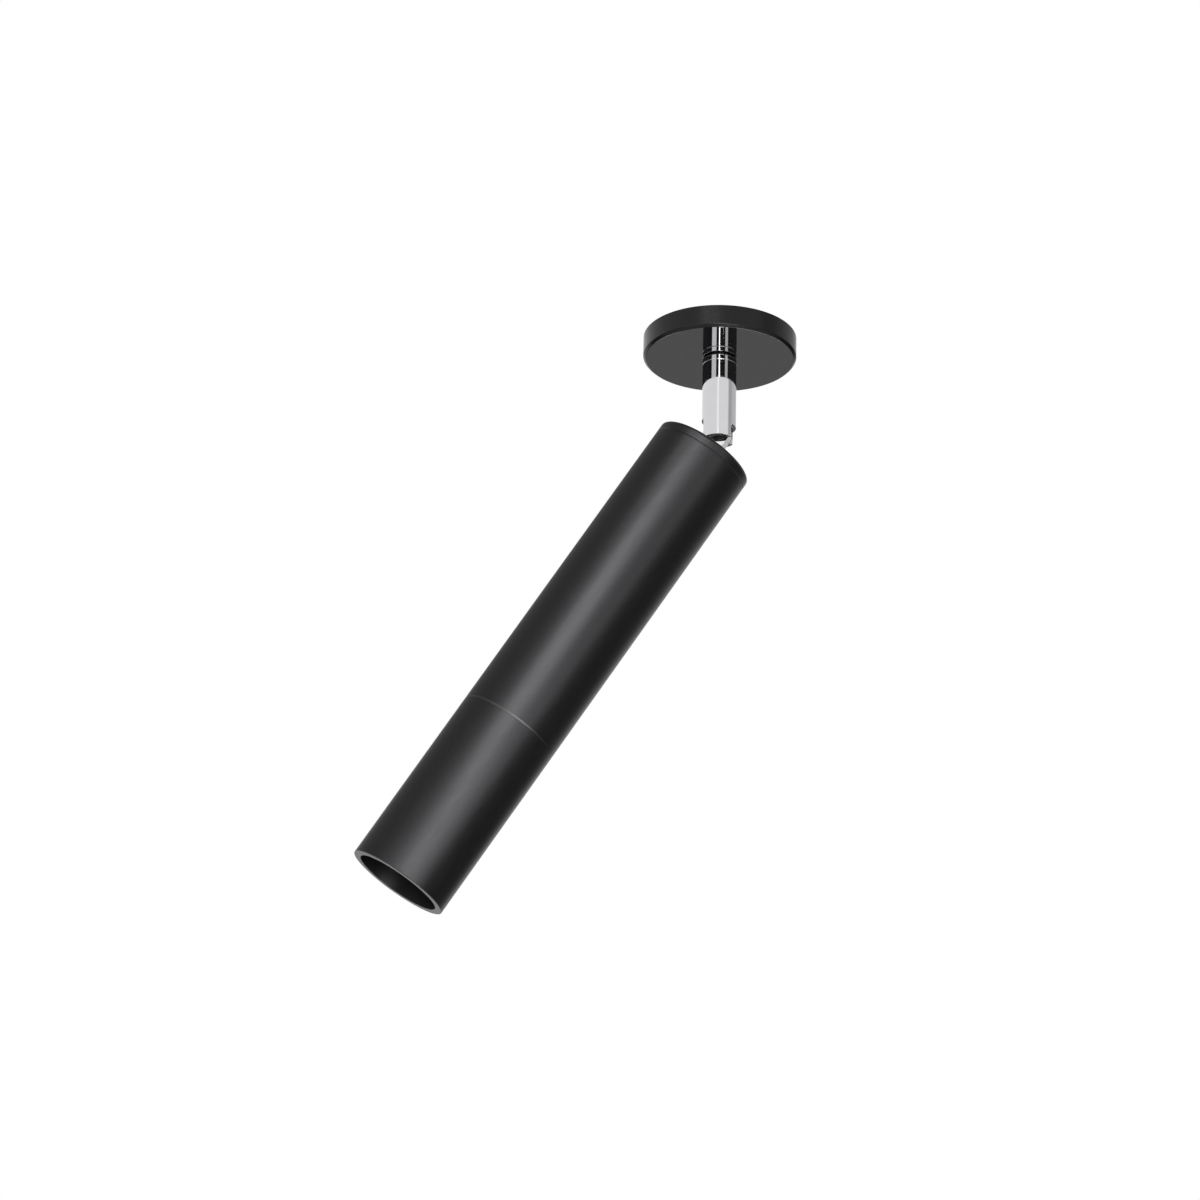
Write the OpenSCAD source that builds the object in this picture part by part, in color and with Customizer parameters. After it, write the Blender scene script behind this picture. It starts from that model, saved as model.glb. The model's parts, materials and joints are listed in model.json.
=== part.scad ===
// Ceiling tube spotlight: a ceiling cup, a swivel stem with a hinge, and a long tube that holds a reflector lamp.
// The origin is the middle of the ceiling face. +Z points up into the ceiling, and the tube tilts towards -X.

/* [Pose] */
// Tilt of the tube from hanging straight down, in degrees
tilt = 33; // [0:1:90]

/* [Canopy] */
// Outer diameter of the ceiling cup
canopy_d = 90; // [86:1:110]
// Height of the ceiling cup
canopy_h = 13.5; // [12:0.5:16]
// Wall of the ceiling cup
canopy_wall = 1.5; // [1:0.1:1.8]
// Bevel between the cup's side and its underside
canopy_bevel = 1.5; // [0.2:0.1:1.7]

/* [Strap] */
// Gap between each end of the strap and the cup's wall
strap_end_gap = 4.5; // [3.5:0.5:6]
// Distance from the strap's end to the middle of its ceiling screw slot
slot_inset = 9; // [7:0.5:11]
// Width of a ceiling screw slot
slot_w = 4.5; // [3.5:0.1:5.5]
// Length of a ceiling screw slot from end to end
slot_l = 9; // [6:0.5:10]
// Width of the strap
strap_w = 16; // [15:0.5:18]
// Thickness of the strap's steel
strap_t = 1.5; // [1:0.1:1.5]
// Length of the strap's lowered middle
dish_l = 26; // [24:0.5:28]
// How far the middle of the strap is lowered
dish_depth = 7; // [6.8:0.1:7.2]
// Length along the strap of each sloping web
web_l = 5; // [3:0.5:6]

/* [Nipple] */
// Outer diameter of the threaded nipple
nipple_d = 10; // [9:0.5:10.5]
// Bore of the threaded nipple
nipple_bore = 7; // [6.5:0.1:7.5]
// Gap between the ceiling and the top of the nipple
nipple_top = 4; // [3.9:0.1:4.2]
// How far the nipple is screwed into the collar
nipple_grip = 4.5; // [3:0.5:6]
// Width across flats of the strap nut
strap_nut_af = 14; // [13:0.5:15]
// Thickness of the strap nut
strap_nut_t = 2.6; // [2:0.1:2.6]

/* [Swivel] */
// Diameter of the stem and of the ring above it
stem_d = 20; // [20:0.5:24]
// Diameter of the collar and its washer, which show as the dark groove
groove_d = 17; // [16.5:0.1:18.5]
// Height of the collar's flange under the cup
collar_t = 0.6; // [0.5:0.1:2]
// Thickness of the washer that the stem turns against
washer_t = 0.4; // [0.3:0.1:1]
// Diameter of the spigot that the stem turns on
spigot_d = 14; // [13.5:0.1:14.5]
// Length of the spigot below the flange
spigot_l = 12.9; // [12.3:0.1:14]
// Height of the ring that shows between the groove and the stem
ring_t = 3.2; // [2:0.1:4]
// Height of the ring's thread inside the stem
ring_thread_h = 3.8; // [2.5:0.1:4]
// Diameter of the ring's thread inside the stem
ring_thread_d = 17.4; // [17.1:0.1:17.6]
// Thickness of the washer that the ring hangs on
thrust_t = 0.6; // [0.4:0.1:0.8]
// Thickness of the retaining clip
circlip_t = 1; // [0.8:0.1:1.2]
// Depth of the clip's groove
circlip_depth = 0.5; // [0.3:0.1:0.7]
// Diameter of the pan stop pin
stop_pin_d = 2; // [1.5:0.1:2]
// Width of the rib inside the stem that the stop pin meets
stop_rib_w = 2.5; // [2:0.1:4]

/* [Hinge] */
// Depth of the hinge axis below the ceiling
pivot_depth = 61.5; // [56:0.5:80]
// How far the fork reaches below the hinge axis
fork_reach = 4.5; // [3.5:0.1:5]
// Width of the fork's slot
fork_slot = 10; // [9.6:0.1:11]
// Distance of the flat on the fork's right side from the stem's axis
fork_flat = 7.7; // [7.4:0.1:9]
// Thickness of each friction washer in the fork
pivot_washer_t = 0.5; // [0.3:0.1:0.6]
// Diameter of the friction washers in the fork
pivot_washer_d = 12; // [10:0.5:13]
// Diameter of the hinge screw
pivot_screw_d = 4; // [3.5:0.1:4]
// Width of the tongue across the tilt direction
tongue_w = 14.4; // [14:0.1:14.6]
// Length across the tongue of the passage for the wires
passage_l = 9.4; // [9.2:0.1:9.8]
// Width of the passage for the wires
passage_w = 5.4; // [5:0.1:6]
// Bore for the wires down the stem
stem_bore = 8; // [7.5:0.1:8.5]
// Distance from the hinge axis to the tongue's round shoulder
shoulder_at = 10.5; // [10.4:0.1:11.5]
// Distance from the hinge axis to the top face of the tube's cap
face_at = 14.2; // [13.5:0.1:18]
// Diameter of the tongue's threaded stud
stud_d = 13; // [12.6:0.1:14]

/* [Head] */
// Outer diameter of the tubes
head_d = 60; // [56:0.5:72]
// Height of the cap above its seam
cap_h = 6; // [5.5:0.5:10]
// Rounding of the cap's top edge
cap_round = 2; // [0.5:0.1:4]
// Height of the cap's spigot inside the tube
cap_spigot_h = 10; // [6:0.5:16]
// Wall of the cap's spigot
cap_spigot_wall = 3; // [2:0.5:5]
// Length of the upper tube
upper_l = 196.5; // [160:0.5:260]
// Wall of the upper tube
upper_wall = 1.5; // [1.2:0.1:1.8]
// Length of the lower tube
lower_l = 110; // [80:0.5:160]
// Wall of the lower tube
mouth_wall = 4.5; // [4:0.1:6]
// Bevel along the tubes' edges at the fine seams
seam_bevel = 0.25; // [0.1:0.05:0.5]

/* [Coupler] */
// Length of the coupler inside the upper tube
coupler_up = 12; // [8:0.5:16]
// Length of the coupler inside the lower tube
coupler_down = 12; // [8:0.5:20]
// Thickness of the coupler's inner flange
flange_t = 3; // [2:0.1:4]
// Width of the coupler's inner flange
flange_w = 4.5; // [3.5:0.25:5.5]
// Thickness of the O-ring
o_ring_t = 1.8; // [1.4:0.1:2]

/* [Lampholder] */
// Diameter of the ceramic lampholder
holder_d = 28; // [27:0.5:32]
// Height of the ceramic lampholder
holder_h = 14; // [12:0.5:18]
// Thickness of the plate that carries the lampholder
plate_t = 1.2; // [1:0.1:2]
// Distance between the two screws of the lampholder
holder_screw_spacing = 20; // [18.5:0.1:21]
// Distance between the two pins of the lamp
pin_spacing = 10; // [10:0.1:10.4]

/* [Lamp] */
// Gap between the lamp and the tube's bore
lamp_gap = 0.5; // [0.3:0.1:1.5]
// Length of the lamp from its base to its face
lamp_l = 47; // [44:0.5:52]
// Diameter of the lamp's base
lamp_base_d = 28; // [26:0.5:34]
// Height of the lamp's base
lamp_base_h = 11; // [8:0.5:14]
// Height of the lamp's straight rim
lamp_rim_h = 6; // [4:0.5:8]
// Wall of the lamp's shell
lamp_wall = 1.4; // [1:0.1:2]
// Thickness of the lamp's front lens
lens_t = 2.2; // [1.5:0.1:3]
// Diameter of the foot of a lamp pin
pin_foot_d = 5; // [4.5:0.1:5]
// Diameter of the neck of a lamp pin
pin_neck_d = 3.2; // [2.5:0.1:3.5]
// Length of a lamp pin
pin_l = 7; // [6:0.1:7.5]

/* [Wiring] */
// Diameter of a lead with its insulation
lead_d = 1.8; // [1.4:0.1:1.8]
// Length of the terminal block
block_l = 24; // [22:0.5:26]
// Width of the terminal block
block_w = 11; // [9:0.5:12]
// Height of the terminal block
block_h = 8.4; // [7:0.1:8.6]
// Bore of one terminal
terminal_bore = 3; // [2.6:0.1:3.2]
// Diameter of a terminal screw
terminal_screw_d = 3; // [2.5:0.1:3.2]

/* [Fits] */
// Radial gap of a running fit
run_gap = 0.05; // [0.02:0.01:0.09]
// Radial gap of a thread or a seat within one assembly
seat_gap = 0.05; // [0.02:0.01:0.1]
// Gap that lets a moving face clear its neighbour
clear_gap = 0.3; // [0.2:0.05:0.4]

/* [Hidden] */
$fn = 96;

// Lets a cut run past the face that it opens
past = 1;

// Heights in the ceiling part, from the ceiling at 0 downwards
canopy_under = -canopy_h;
canopy_floor = canopy_under + canopy_wall;
canopy_inner_r = canopy_d/2 - canopy_wall;
strap_l = 2*(canopy_inner_r - strap_end_gap);
screw_spacing = strap_l - 2*slot_inset;
dish_top = -dish_depth;
flange_under = canopy_under - collar_t;
ring_top = flange_under - washer_t;
stem_top = ring_top - ring_t;
ring_under = stem_top - ring_thread_h;
clip_top = ring_under - thrust_t;
clip_under = clip_top - circlip_t;
spigot_end = flange_under - spigot_l;
chamber_end = spigot_end - clear_gap*2;
nipple_end = canopy_under - nipple_grip;

// The stop pin lies in the spigot between the clip and the spigot's end
stop_pin_z = (clip_under + spigot_end)/2;
stop_pin_out = spigot_d/2 + 1.1;
stop_pin_in = nipple_bore/2 + 0.6;
stop_rib_in = spigot_d/2 + 4*run_gap + 0.2;

// Earth screw in the strap's lowered middle, beside the nut
strap_earth_x = 10.4;

// The terminal block hangs under a tab beside the strap's right end
block_inset = 19;
block_strap_gap = 7;
block_x = strap_l/2 - block_inset;
block_y = strap_w/2 + block_strap_gap + block_w/2;
tab_w = 12;
tab_reach = block_strap_gap + block_w;
block_top = -strap_t;
pole_pitch = block_l/3;
pole_z = block_top - block_h*0.42;
block_screw_d = 3;
block_screw_head_d = 5;
block_screw_head_h = 1.4;
block_screw_x = block_x + pole_pitch/2;

// Hinge
pivot_z = -pivot_depth;
fork_end = pivot_z - fork_reach;
tongue_t = fork_slot - 2*pivot_washer_t;
slot_r = tongue_w/2 + clear_gap + 0.2;
slot_right_rise = 3.5;
pivot_head_d = 6.6;
pivot_head_h = 1.4;
pivot_head_out = stem_d/2 - 0.7;
pivot_tip = stem_d/2 - 0.8;
pivot_socket_af = 2.5;

// Distances along the tube's axis, from the cap's top face
cap_seam = cap_h;
tube_seam = cap_h + upper_l;
mouth_end = tube_seam + lower_l;
tube_inner_d = head_d - 2*upper_wall;
mouth_d = head_d - 2*mouth_wall;
flange_d = mouth_d - 2*flange_w;
lamp_d = mouth_d - 2*lamp_gap;
coupler_d = tube_inner_d - 2*seat_gap;
coupler_top = tube_seam - coupler_up;
coupler_end = tube_seam + coupler_down;
plate_top = coupler_top - plate_t;
holder_top = plate_top - holder_h;
lamp_top = coupler_top + clear_gap;
lamp_face = lamp_top + lamp_l;
pin_top = lamp_top - pin_l;
plate_d = tube_inner_d - 4*seat_gap - 0.4;
plate_screw_r = (flange_d + mouth_d)/4 + 1.2;
plate_screw_d = 3;
small_head_d = 5;
small_head_h = 1.6;
contact_t = 0.8;
pin_hole_d = pin_foot_d + 0.6;
o_ring_at = tube_seam + coupler_down/2;
o_ring_gap = 0.02;
o_ring_groove = o_ring_t - seat_gap + o_ring_gap;

// What clamps the stud to the cap
stud_hole_d = stud_d + 2*seat_gap;
cap_washer_t = 1;
cap_washer_d = stud_d + 7;
cap_nut_t = 3;
cap_nut_af = stud_d + 4;
stud_end = cap_seam + cap_washer_t + cap_nut_t + 1.5;
earth_tag_t = 0.8;
earth_barrel_d = 3.2;
earth_barrel_x = cap_washer_d/2 + earth_barrel_d/2 + 1.4;
earth_x = earth_barrel_x + 5.5;
earth_barrel_l = 5;
earth_screw_d = 3;

// Where the leads run: beside one another in the nipple, and on both sides of the hinge screw
bundle_r = 1.5;
past_screw_x = pivot_screw_d/2 + lead_d/2 + 0.2;
past_screw_y = lead_d/2 + 0.15;

// Leads in the ceiling part, from the terminal block over the nipple's rim and down its bore
canopy_live_route = [[block_x - pole_pitch, block_y - block_w/2 + 3, pole_z],
    [block_x - pole_pitch, block_y - block_w/2, pole_z], [block_x - pole_pitch - 2, 11, -4.6],
    [6, 7, -3.2], [1.5, 3.6, -2.4], [-0.4, 1.9, -3.4], [-bundle_r/2, 1.3, -6],
    [-bundle_r/2, 1.3, -9], [-bundle_r/2, 1.3, spigot_end]];
canopy_earth_route = [[block_x, block_y - block_w/2 + 3, pole_z],
    [block_x, block_y - block_w/2, pole_z], [block_x - 4, 12, -4.2],
    [10, 6.5, -2.7], [5.4, 2, -2.3], [2.5, 0.3, -3], [bundle_r, 0, -5.6],
    [bundle_r, 0, -9], [bundle_r, 0, spigot_end]];
canopy_neutral_route = [[block_x + pole_pitch, block_y - block_w/2 + 3, pole_z],
    [block_x + pole_pitch, block_y - block_w/2, pole_z], [block_x + pole_pitch - 3, 12.6, -6.6],
    [18, 12, -8.3], [9, 12.4, -8.2], [1, 11.2, -6.4], [-4, 7.6, -3.3], [-3.8, 3, -2.3], [-2.2, -0.2, -3],
    [-bundle_r/2, -1.4, -5.6], [-bundle_r/2, -1.3, -9], [-bundle_r/2, -1.3, spigot_end]];

// Leads in the stem, from the spigot to just above the tongue
stem_lead_top = spigot_end - clear_gap;
stem_lead_end = pivot_z + tongue_w/2 + clear_gap;
stem_live_route = [[-bundle_r/2, 1.3, stem_lead_top], [-bundle_r/2, 1.3, stem_lead_top - 4],
    [-1.2, 1.2, stem_lead_top - 12], [-bundle_r, past_screw_y, stem_lead_end + 6],
    [-bundle_r, past_screw_y, stem_lead_end]];
stem_neutral_route = [for (p = stem_live_route) [p[0], -p[1], p[2]]];
stem_earth_route = [[bundle_r, 0, stem_lead_top], [bundle_r, 0, stem_lead_top - 4],
    [1.6, 0, stem_lead_top - 12], [bundle_r, 0, stem_lead_end + 6], [bundle_r, 0, stem_lead_end]];

// Leads in the tube, from the tongue past the hinge screw, to the lampholder and to the earth tag
head_lead_top = -tongue_w/2 + 1.3;
lead_above_screw = 20;
lead_bend = 22;
lead_upper_third = face_at + holder_top*0.23;
lead_middle = face_at + holder_top*0.51;
lead_into_holder = face_at + pin_top - contact_t - clear_gap;
lead_past_stud = face_at + stud_end + 4;
lead_before_holder = face_at + holder_top - lead_bend;
lead_at_holder = face_at + holder_top - 4;
head_live_route = [[-past_screw_x, past_screw_y, head_lead_top], [-past_screw_x, past_screw_y, lead_above_screw],
    [-past_screw_x, past_screw_y, lead_past_stud], [-1.8, 2.4, lead_upper_third],
    [2.6, 2, lead_middle], [pin_spacing/2, 0.4, lead_before_holder],
    [pin_spacing/2, 0, lead_at_holder], [pin_spacing/2, 0, lead_into_holder]];
head_neutral_route = [[-past_screw_x, -past_screw_y, head_lead_top],
    [-past_screw_x, -past_screw_y, lead_above_screw],
    [-past_screw_x, -past_screw_y, lead_past_stud], [-3.6, -1.9, lead_upper_third],
    [-4.4, -1.2, lead_middle], [-pin_spacing/2, -0.2, lead_before_holder],
    [-pin_spacing/2, 0, lead_at_holder], [-pin_spacing/2, 0, lead_into_holder]];
head_earth_route = [[past_screw_x, 0, head_lead_top], [past_screw_x, 0, lead_above_screw],
    [past_screw_x, 0, face_at + stud_end + 2], [4.2, 0, face_at + stud_end + 7],
    [8, 0, face_at + stud_end + 10], [12, 0, face_at + stud_end + 7],
    [earth_barrel_x, 0, face_at + stud_end + 2], [earth_barrel_x, 0, face_at + cap_seam + earth_tag_t + 1]];

// Colours
satin_black = [0.10, 0.10, 0.11];
gloss_black = [0.07, 0.07, 0.08];
chrome = [0.80, 0.81, 0.83];
zinc = [0.66, 0.67, 0.68];
brass = [0.78, 0.62, 0.30];
nylon_black = [0.05, 0.05, 0.05];
nylon_white = [0.92, 0.92, 0.90];
ceramic_white = [0.93, 0.92, 0.88];
lamp_white = [0.90, 0.90, 0.90];
lens_clear = [0.85, 0.90, 0.95];
live_brown = [0.36, 0.20, 0.12];
neutral_blue = [0.10, 0.25, 0.60];
earth_green = [0.45, 0.62, 0.12];

// A flat ring from one height down to another
module ring(outer_d, inner_d, top, bottom) {
    difference() {
        translate([0, 0, bottom]) cylinder(d = outer_d, h = top - bottom);
        translate([0, 0, bottom - past]) cylinder(d = inner_d, h = top - bottom + 2*past);
    }
}

// A tube along +Z between two distances, with a small bevel round its outer edges
module bevelled_tube(outer_d, inner_d, from, to, bevel_from, bevel_to) {
    outer = outer_d/2;
    inner = inner_d/2;
    rotate_extrude() polygon([[inner, from], [outer - bevel_from, from], [outer, from + bevel_from],
        [outer, to - bevel_to], [outer - bevel_to, to], [inner, to]]);
}

// A screw along +Z with a round head at the origin's far side and its tip at the given length
module pan_screw(shank_d, length, head_d, head_h, drive_w) {
    difference() {
        union() {
            cylinder(d = shank_d, h = length);
            translate([0, 0, -head_h]) cylinder(d = head_d, h = head_h);
        }
        translate([-drive_w*2, -drive_w/2, -head_h - past]) cube([drive_w*4, drive_w, past + head_h*0.5]);
    }
}

// Places what is modelled along +Z from the hinge axis on the tilted tube
module on_head() {
    translate([0, 0, pivot_z]) rotate([0, 180 + tilt, 0]) children();
}

// Places what is modelled along +Z from the cap's top face on the tilted tube
module on_face() {
    on_head() translate([0, 0, face_at]) children();
}

// Points of a smooth curve through a lead's route
function spline(a, b, c, d, t) = 0.5*((2*b) + (c - a)*t + (2*a - 5*b + 4*c - d)*t*t
    + (3*b - a - 3*c + d)*t*t*t);
function smooth(route, steps) = let (last = len(route) - 1) concat(
    [for (i = [0:last - 1]) for (k = [0:steps - 1])
        spline(route[max(i - 1, 0)], route[i], route[i + 1], route[min(i + 2, last)], k/steps)],
    [route[last]]);
function unit(v) = v/norm(v);
function heading(points, i) = unit(points[min(i + 1, len(points) - 1)] - points[max(i - 1, 0)]);

// A lead: one closed tube of eight sides swept along its route, square to the route at every ring
module lead(route, sideways) {
    sides = 8;
    points = smooth(route, 3);
    count = len(points);
    rings = [for (i = [0:count - 1])
        let (ahead = heading(points, i), across = unit(cross(ahead, sideways)), up = cross(across, ahead))
        for (s = [0:sides - 1])
            points[i] + lead_d/2*(across*cos(360*s/sides) + up*sin(360*s/sides))];
    walls = [for (i = [0:count - 2]) for (s = [0:sides - 1]) for (half = [0:1])
        let (n = (s + 1) % sides, a = i*sides, b = a + sides)
        half == 0 ? [a + s, b + s, b + n] : [a + s, b + n, a + n]];
    ends = [[for (s = [0:sides - 1]) s], [for (s = [sides - 1:-1:0]) (count - 1)*sides + s]];
    polyhedron(points = rings, faces = concat(walls, ends), convexity = 8);
}

// Bent steel strap: flat ends on the ceiling, a lowered middle for the nut, and a tab for the terminal block
module mounting_strap() {
    half = strap_l/2;
    foot = dish_l/2;
    knee = foot + web_l;
    color(zinc) difference() {
        union() {
            translate([0, strap_w/2, 0]) rotate([90, 0, 0]) linear_extrude(strap_w) polygon([
                [-half, 0], [-knee, 0], [-foot, dish_top], [foot, dish_top], [knee, 0], [half, 0],
                [half, -strap_t], [knee + strap_t/2, -strap_t], [foot + strap_t/2, dish_top - strap_t],
                [-foot - strap_t/2, dish_top - strap_t], [-knee - strap_t/2, -strap_t], [-half, -strap_t]]);
            translate([block_screw_x - tab_w/2, strap_w/2 - past, -strap_t])
                cube([tab_w, tab_reach + past, strap_t]);
        }
        for (side = [-1, 1]) translate([side*screw_spacing/2, 0, -strap_t - past]) {
            for (end = [-1, 1]) translate([end*(slot_l - slot_w)/2, 0, 0])
                cylinder(d = slot_w, h = strap_t + 2*past);
            translate([-(slot_l - slot_w)/2, -slot_w/2, 0]) cube([slot_l - slot_w, slot_w, strap_t + 2*past]);
        }
        translate([0, 0, dish_top - strap_t - past])
            cylinder(d = nipple_d + 2*seat_gap, h = strap_t + 2*past);
        translate([block_screw_x, block_y, -strap_t - past])
            cylinder(d = block_screw_d + 2*seat_gap, h = strap_t + 2*past);
        translate([-strap_earth_x, 0, dish_top - strap_t - past])
            cylinder(d = earth_screw_d + 2*seat_gap, h = strap_t + 2*past);
    }
}

// Hexagon nut that locks the nipple on top of the strap's lowered middle
module strap_nut() {
    color(zinc) difference() {
        translate([0, 0, dish_top]) cylinder(d = strap_nut_af/cos(30), h = strap_nut_t, $fn = 6);
        translate([0, 0, dish_top - past])
            cylinder(d = nipple_d + 2*seat_gap, h = strap_nut_t + 2*past);
    }
}

// Earth screw of the strap, put in from below
module strap_earth_screw() {
    color(brass) translate([-strap_earth_x, 0, dish_top - strap_t])
        pan_screw(earth_screw_d, strap_t + 0.6, 4, 1, 0.6);
}

// Hollow threaded tube through the strap and the cup, screwed into the collar
module threaded_nipple() {
    color(zinc) ring(nipple_d, nipple_bore, -nipple_top, nipple_end);
}

// Ceiling cup, open at the ceiling
module canopy_cover() {
    r = canopy_d/2;
    color(gloss_black) difference() {
        rotate_extrude() polygon([[0, canopy_under], [r - canopy_bevel, canopy_under],
            [r, canopy_under + canopy_bevel], [r, 0], [0, 0]]);
        translate([0, 0, canopy_floor]) cylinder(r = canopy_inner_r, h = canopy_h);
        translate([0, 0, canopy_under - past])
            cylinder(d = nipple_d + 2*seat_gap, h = canopy_wall + 2*past);
    }
}

// Black collar: its thin flange clamps the cup, and the stem turns on its spigot
module canopy_collar() {
    r = stem_d/2;
    color(satin_black) difference() {
        union() {
            ring(groove_d, nipple_bore, canopy_under, flange_under);
            ring(spigot_d, nipple_bore, canopy_under, spigot_end);
        }
        translate([0, 0, nipple_end - clear_gap])
            cylinder(d = nipple_d + 2*seat_gap, h = nipple_grip + clear_gap + past);
        difference() {
            translate([0, 0, clip_under]) cylinder(r = r, h = circlip_t);
            translate([0, 0, clip_under - past])
                cylinder(d = spigot_d - 2*circlip_depth, h = circlip_t + 2*past);
        }
        translate([0, 0, stop_pin_z]) rotate([0, -90, 0]) cylinder(d = stop_pin_d + 2*seat_gap, h = r);
    }
}

// Washer in the dark groove, between the collar and the turning ring
module friction_washer() {
    color(nylon_black) ring(groove_d, spigot_d + 2*run_gap, flange_under, ring_top);
}

// Ring that turns on the spigot and is screwed into the stem
module swivel_ring() {
    color(chrome) difference() {
        union() {
            bevelled_tube(stem_d, spigot_d, stem_top, ring_top, seam_bevel, seam_bevel);
            ring(ring_thread_d - 2*seat_gap, spigot_d, stem_top + ring_t/2, ring_under);
        }
        translate([0, 0, ring_under - past])
            cylinder(d = spigot_d + 2*run_gap, h = ring_t + ring_thread_h + 2*past);
    }
}

// Washer between the turning ring and the clip
module thrust_washer() {
    color(nylon_white) ring(ring_thread_d - 6*seat_gap - 0.4, spigot_d + 2*run_gap, ring_under, clip_top);
}

// Clip in the spigot's groove, open on one side, that the ring hangs on
module circlip() {
    gap_w = 5;
    color(zinc) difference() {
        ring(ring_thread_d - 6*seat_gap - 0.4, spigot_d - 2*circlip_depth + 2*seat_gap, clip_top, clip_under);
        translate([0, -gap_w/2, clip_under - past]) cube([stem_d, gap_w, circlip_t + 2*past]);
    }
}

// Pin across the spigot's wall that meets the rib inside the stem after most of a turn
module pan_stop_pin() {
    color(zinc) translate([-stop_pin_in, 0, stop_pin_z]) rotate([0, -90, 0])
        cylinder(d = stop_pin_d, h = stop_pin_out - stop_pin_in);
}

// Three-pole terminal block with its screws facing down
module terminal_block() {
    color(nylon_white) difference() {
        translate([block_x - block_l/2, block_y - block_w/2, block_top - block_h])
            cube([block_l, block_w, block_h]);
        for (pole = [-1:1]) {
            translate([block_x + pole*pole_pitch, block_y - block_w/2 - past, pole_z]) rotate([-90, 0, 0])
                cylinder(d = terminal_bore, h = block_w + 2*past);
            for (side = [-1, 1])
                translate([block_x + pole*pole_pitch, block_y + side*block_w/4, block_top - block_h - past])
                    cylinder(d = terminal_screw_d + 2*seat_gap, h = pole_z - block_top + block_h + past);
        }
        translate([block_screw_x, block_y, block_top - block_h - past])
            cylinder(d = block_screw_d + 2*seat_gap, h = block_h + 2*past);
        translate([block_screw_x, block_y, block_top - block_h - past])
            cylinder(d = block_screw_head_d + 2*seat_gap, h = block_screw_head_h + past);
    }
}

// The six clamping screws of the terminal block
module terminal_screws() {
    tip = pole_z - lead_d/2 - 0.1;
    bottom = block_top - block_h;
    color(zinc) for (pole = [-1:1]) for (side = [-1, 1])
        translate([block_x + pole*pole_pitch, block_y + side*block_w/4, 0]) difference() {
            translate([0, 0, bottom + 0.4]) cylinder(d = terminal_screw_d, h = tip - bottom - 0.4);
            translate([-terminal_screw_d, -0.3, bottom - past]) cube([2*terminal_screw_d, 0.6, past + 1]);
        }
}

// Screw that holds the terminal block under the strap's tab
module block_screw() {
    color(zinc) translate([block_screw_x, block_y, block_top - block_h + block_screw_head_h])
        pan_screw(block_screw_d, block_h - block_screw_head_h + strap_t - 0.2, block_screw_head_d,
            block_screw_head_h - 0.2, 0.6);
}

// Leads of the ceiling part
module canopy_live_lead() {
    color(live_brown) lead(canopy_live_route, [1, 0.2, 0.1]);
}
module canopy_neutral_lead() {
    color(neutral_blue) lead(canopy_neutral_route, [1, 0.2, 0.1]);
}
module canopy_earth_lead() {
    color(earth_green) lead(canopy_earth_route, [1, 0.2, 0.1]);
}

// Polished stem: a chamber for the swivel at its top, a wire bore, and a fork at its lower end
module stem_body() {
    r = stem_d/2;
    cheek = fork_slot/2;
    color(chrome) difference() {
        union() {
            difference() {
                bevelled_tube(stem_d, stem_bore, fork_end, stem_top, seam_bevel, seam_bevel);
                translate([0, 0, chamber_end]) cylinder(d = ring_thread_d, h = stem_top - chamber_end + past);
            }
            intersection() {
                translate([stop_rib_in, -stop_rib_w/2, chamber_end - past])
                    cube([r, stop_rib_w, clip_under - clear_gap - chamber_end + past]);
                translate([0, 0, chamber_end - past]) cylinder(r = r - seam_bevel, h = spigot_l);
            }
            ring(stem_d - 2*seam_bevel, stem_bore, chamber_end, pivot_z + slot_r);
        }
        translate([0, cheek, 0]) rotate([90, 0, 0]) {
            translate([0, pivot_z, 0]) cylinder(r = slot_r, h = fork_slot);
            translate([-stem_d, fork_end - past, 0]) cube([stem_d, pivot_z + slot_r - fork_end + past, fork_slot]);
            translate([-past, fork_end - past, 0])
                cube([stem_d, pivot_z + slot_right_rise - fork_end + past, fork_slot]);
        }
        translate([fork_flat, -r, fork_end - past])
            cube([r, stem_d, pivot_z + slot_right_rise - fork_end + past]);
        translate([0, -pivot_tip - seat_gap, pivot_z]) rotate([-90, 0, 0])
            cylinder(d = pivot_screw_d + 2*seat_gap, h = stem_d);
        translate([0, pivot_head_out - pivot_head_h, pivot_z]) rotate([-90, 0, 0])
            cylinder(d = pivot_head_d + 2*seat_gap, h = stem_d);
    }
}

// Hinge screw, let in from the rear cheek
module pivot_screw() {
    color(zinc) translate([0, 0, pivot_z]) rotate([90, 0, 0]) difference() {
        union() {
            translate([0, 0, -pivot_head_out + pivot_head_h])
                cylinder(d = pivot_screw_d, h = pivot_tip + pivot_head_out - pivot_head_h);
            translate([0, 0, -pivot_head_out]) cylinder(d = pivot_head_d, h = pivot_head_h);
        }
        translate([0, 0, -pivot_head_out - past])
            cylinder(d = pivot_socket_af/cos(30), h = past + pivot_head_h*0.7, $fn = 6);
    }
}

// The two friction washers between the cheeks and the tongue
module pivot_washers() {
    color(nylon_black) for (side = [0, 1]) mirror([0, side, 0])
        translate([0, fork_slot/2, pivot_z]) rotate([90, 0, 0]) difference() {
            cylinder(d = pivot_washer_d, h = pivot_washer_t);
            translate([0, 0, -past]) cylinder(d = pivot_screw_d + 4*run_gap, h = pivot_washer_t + 2*past);
        }
}

// Leads of the stem
module stem_live_lead() {
    color(live_brown) lead(stem_live_route, [1, 0, 0]);
}
module stem_neutral_lead() {
    color(neutral_blue) lead(stem_neutral_route, [1, 0, 0]);
}
module stem_earth_lead() {
    color(earth_green) lead(stem_earth_route, [0, 1, 0]);
}

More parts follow.
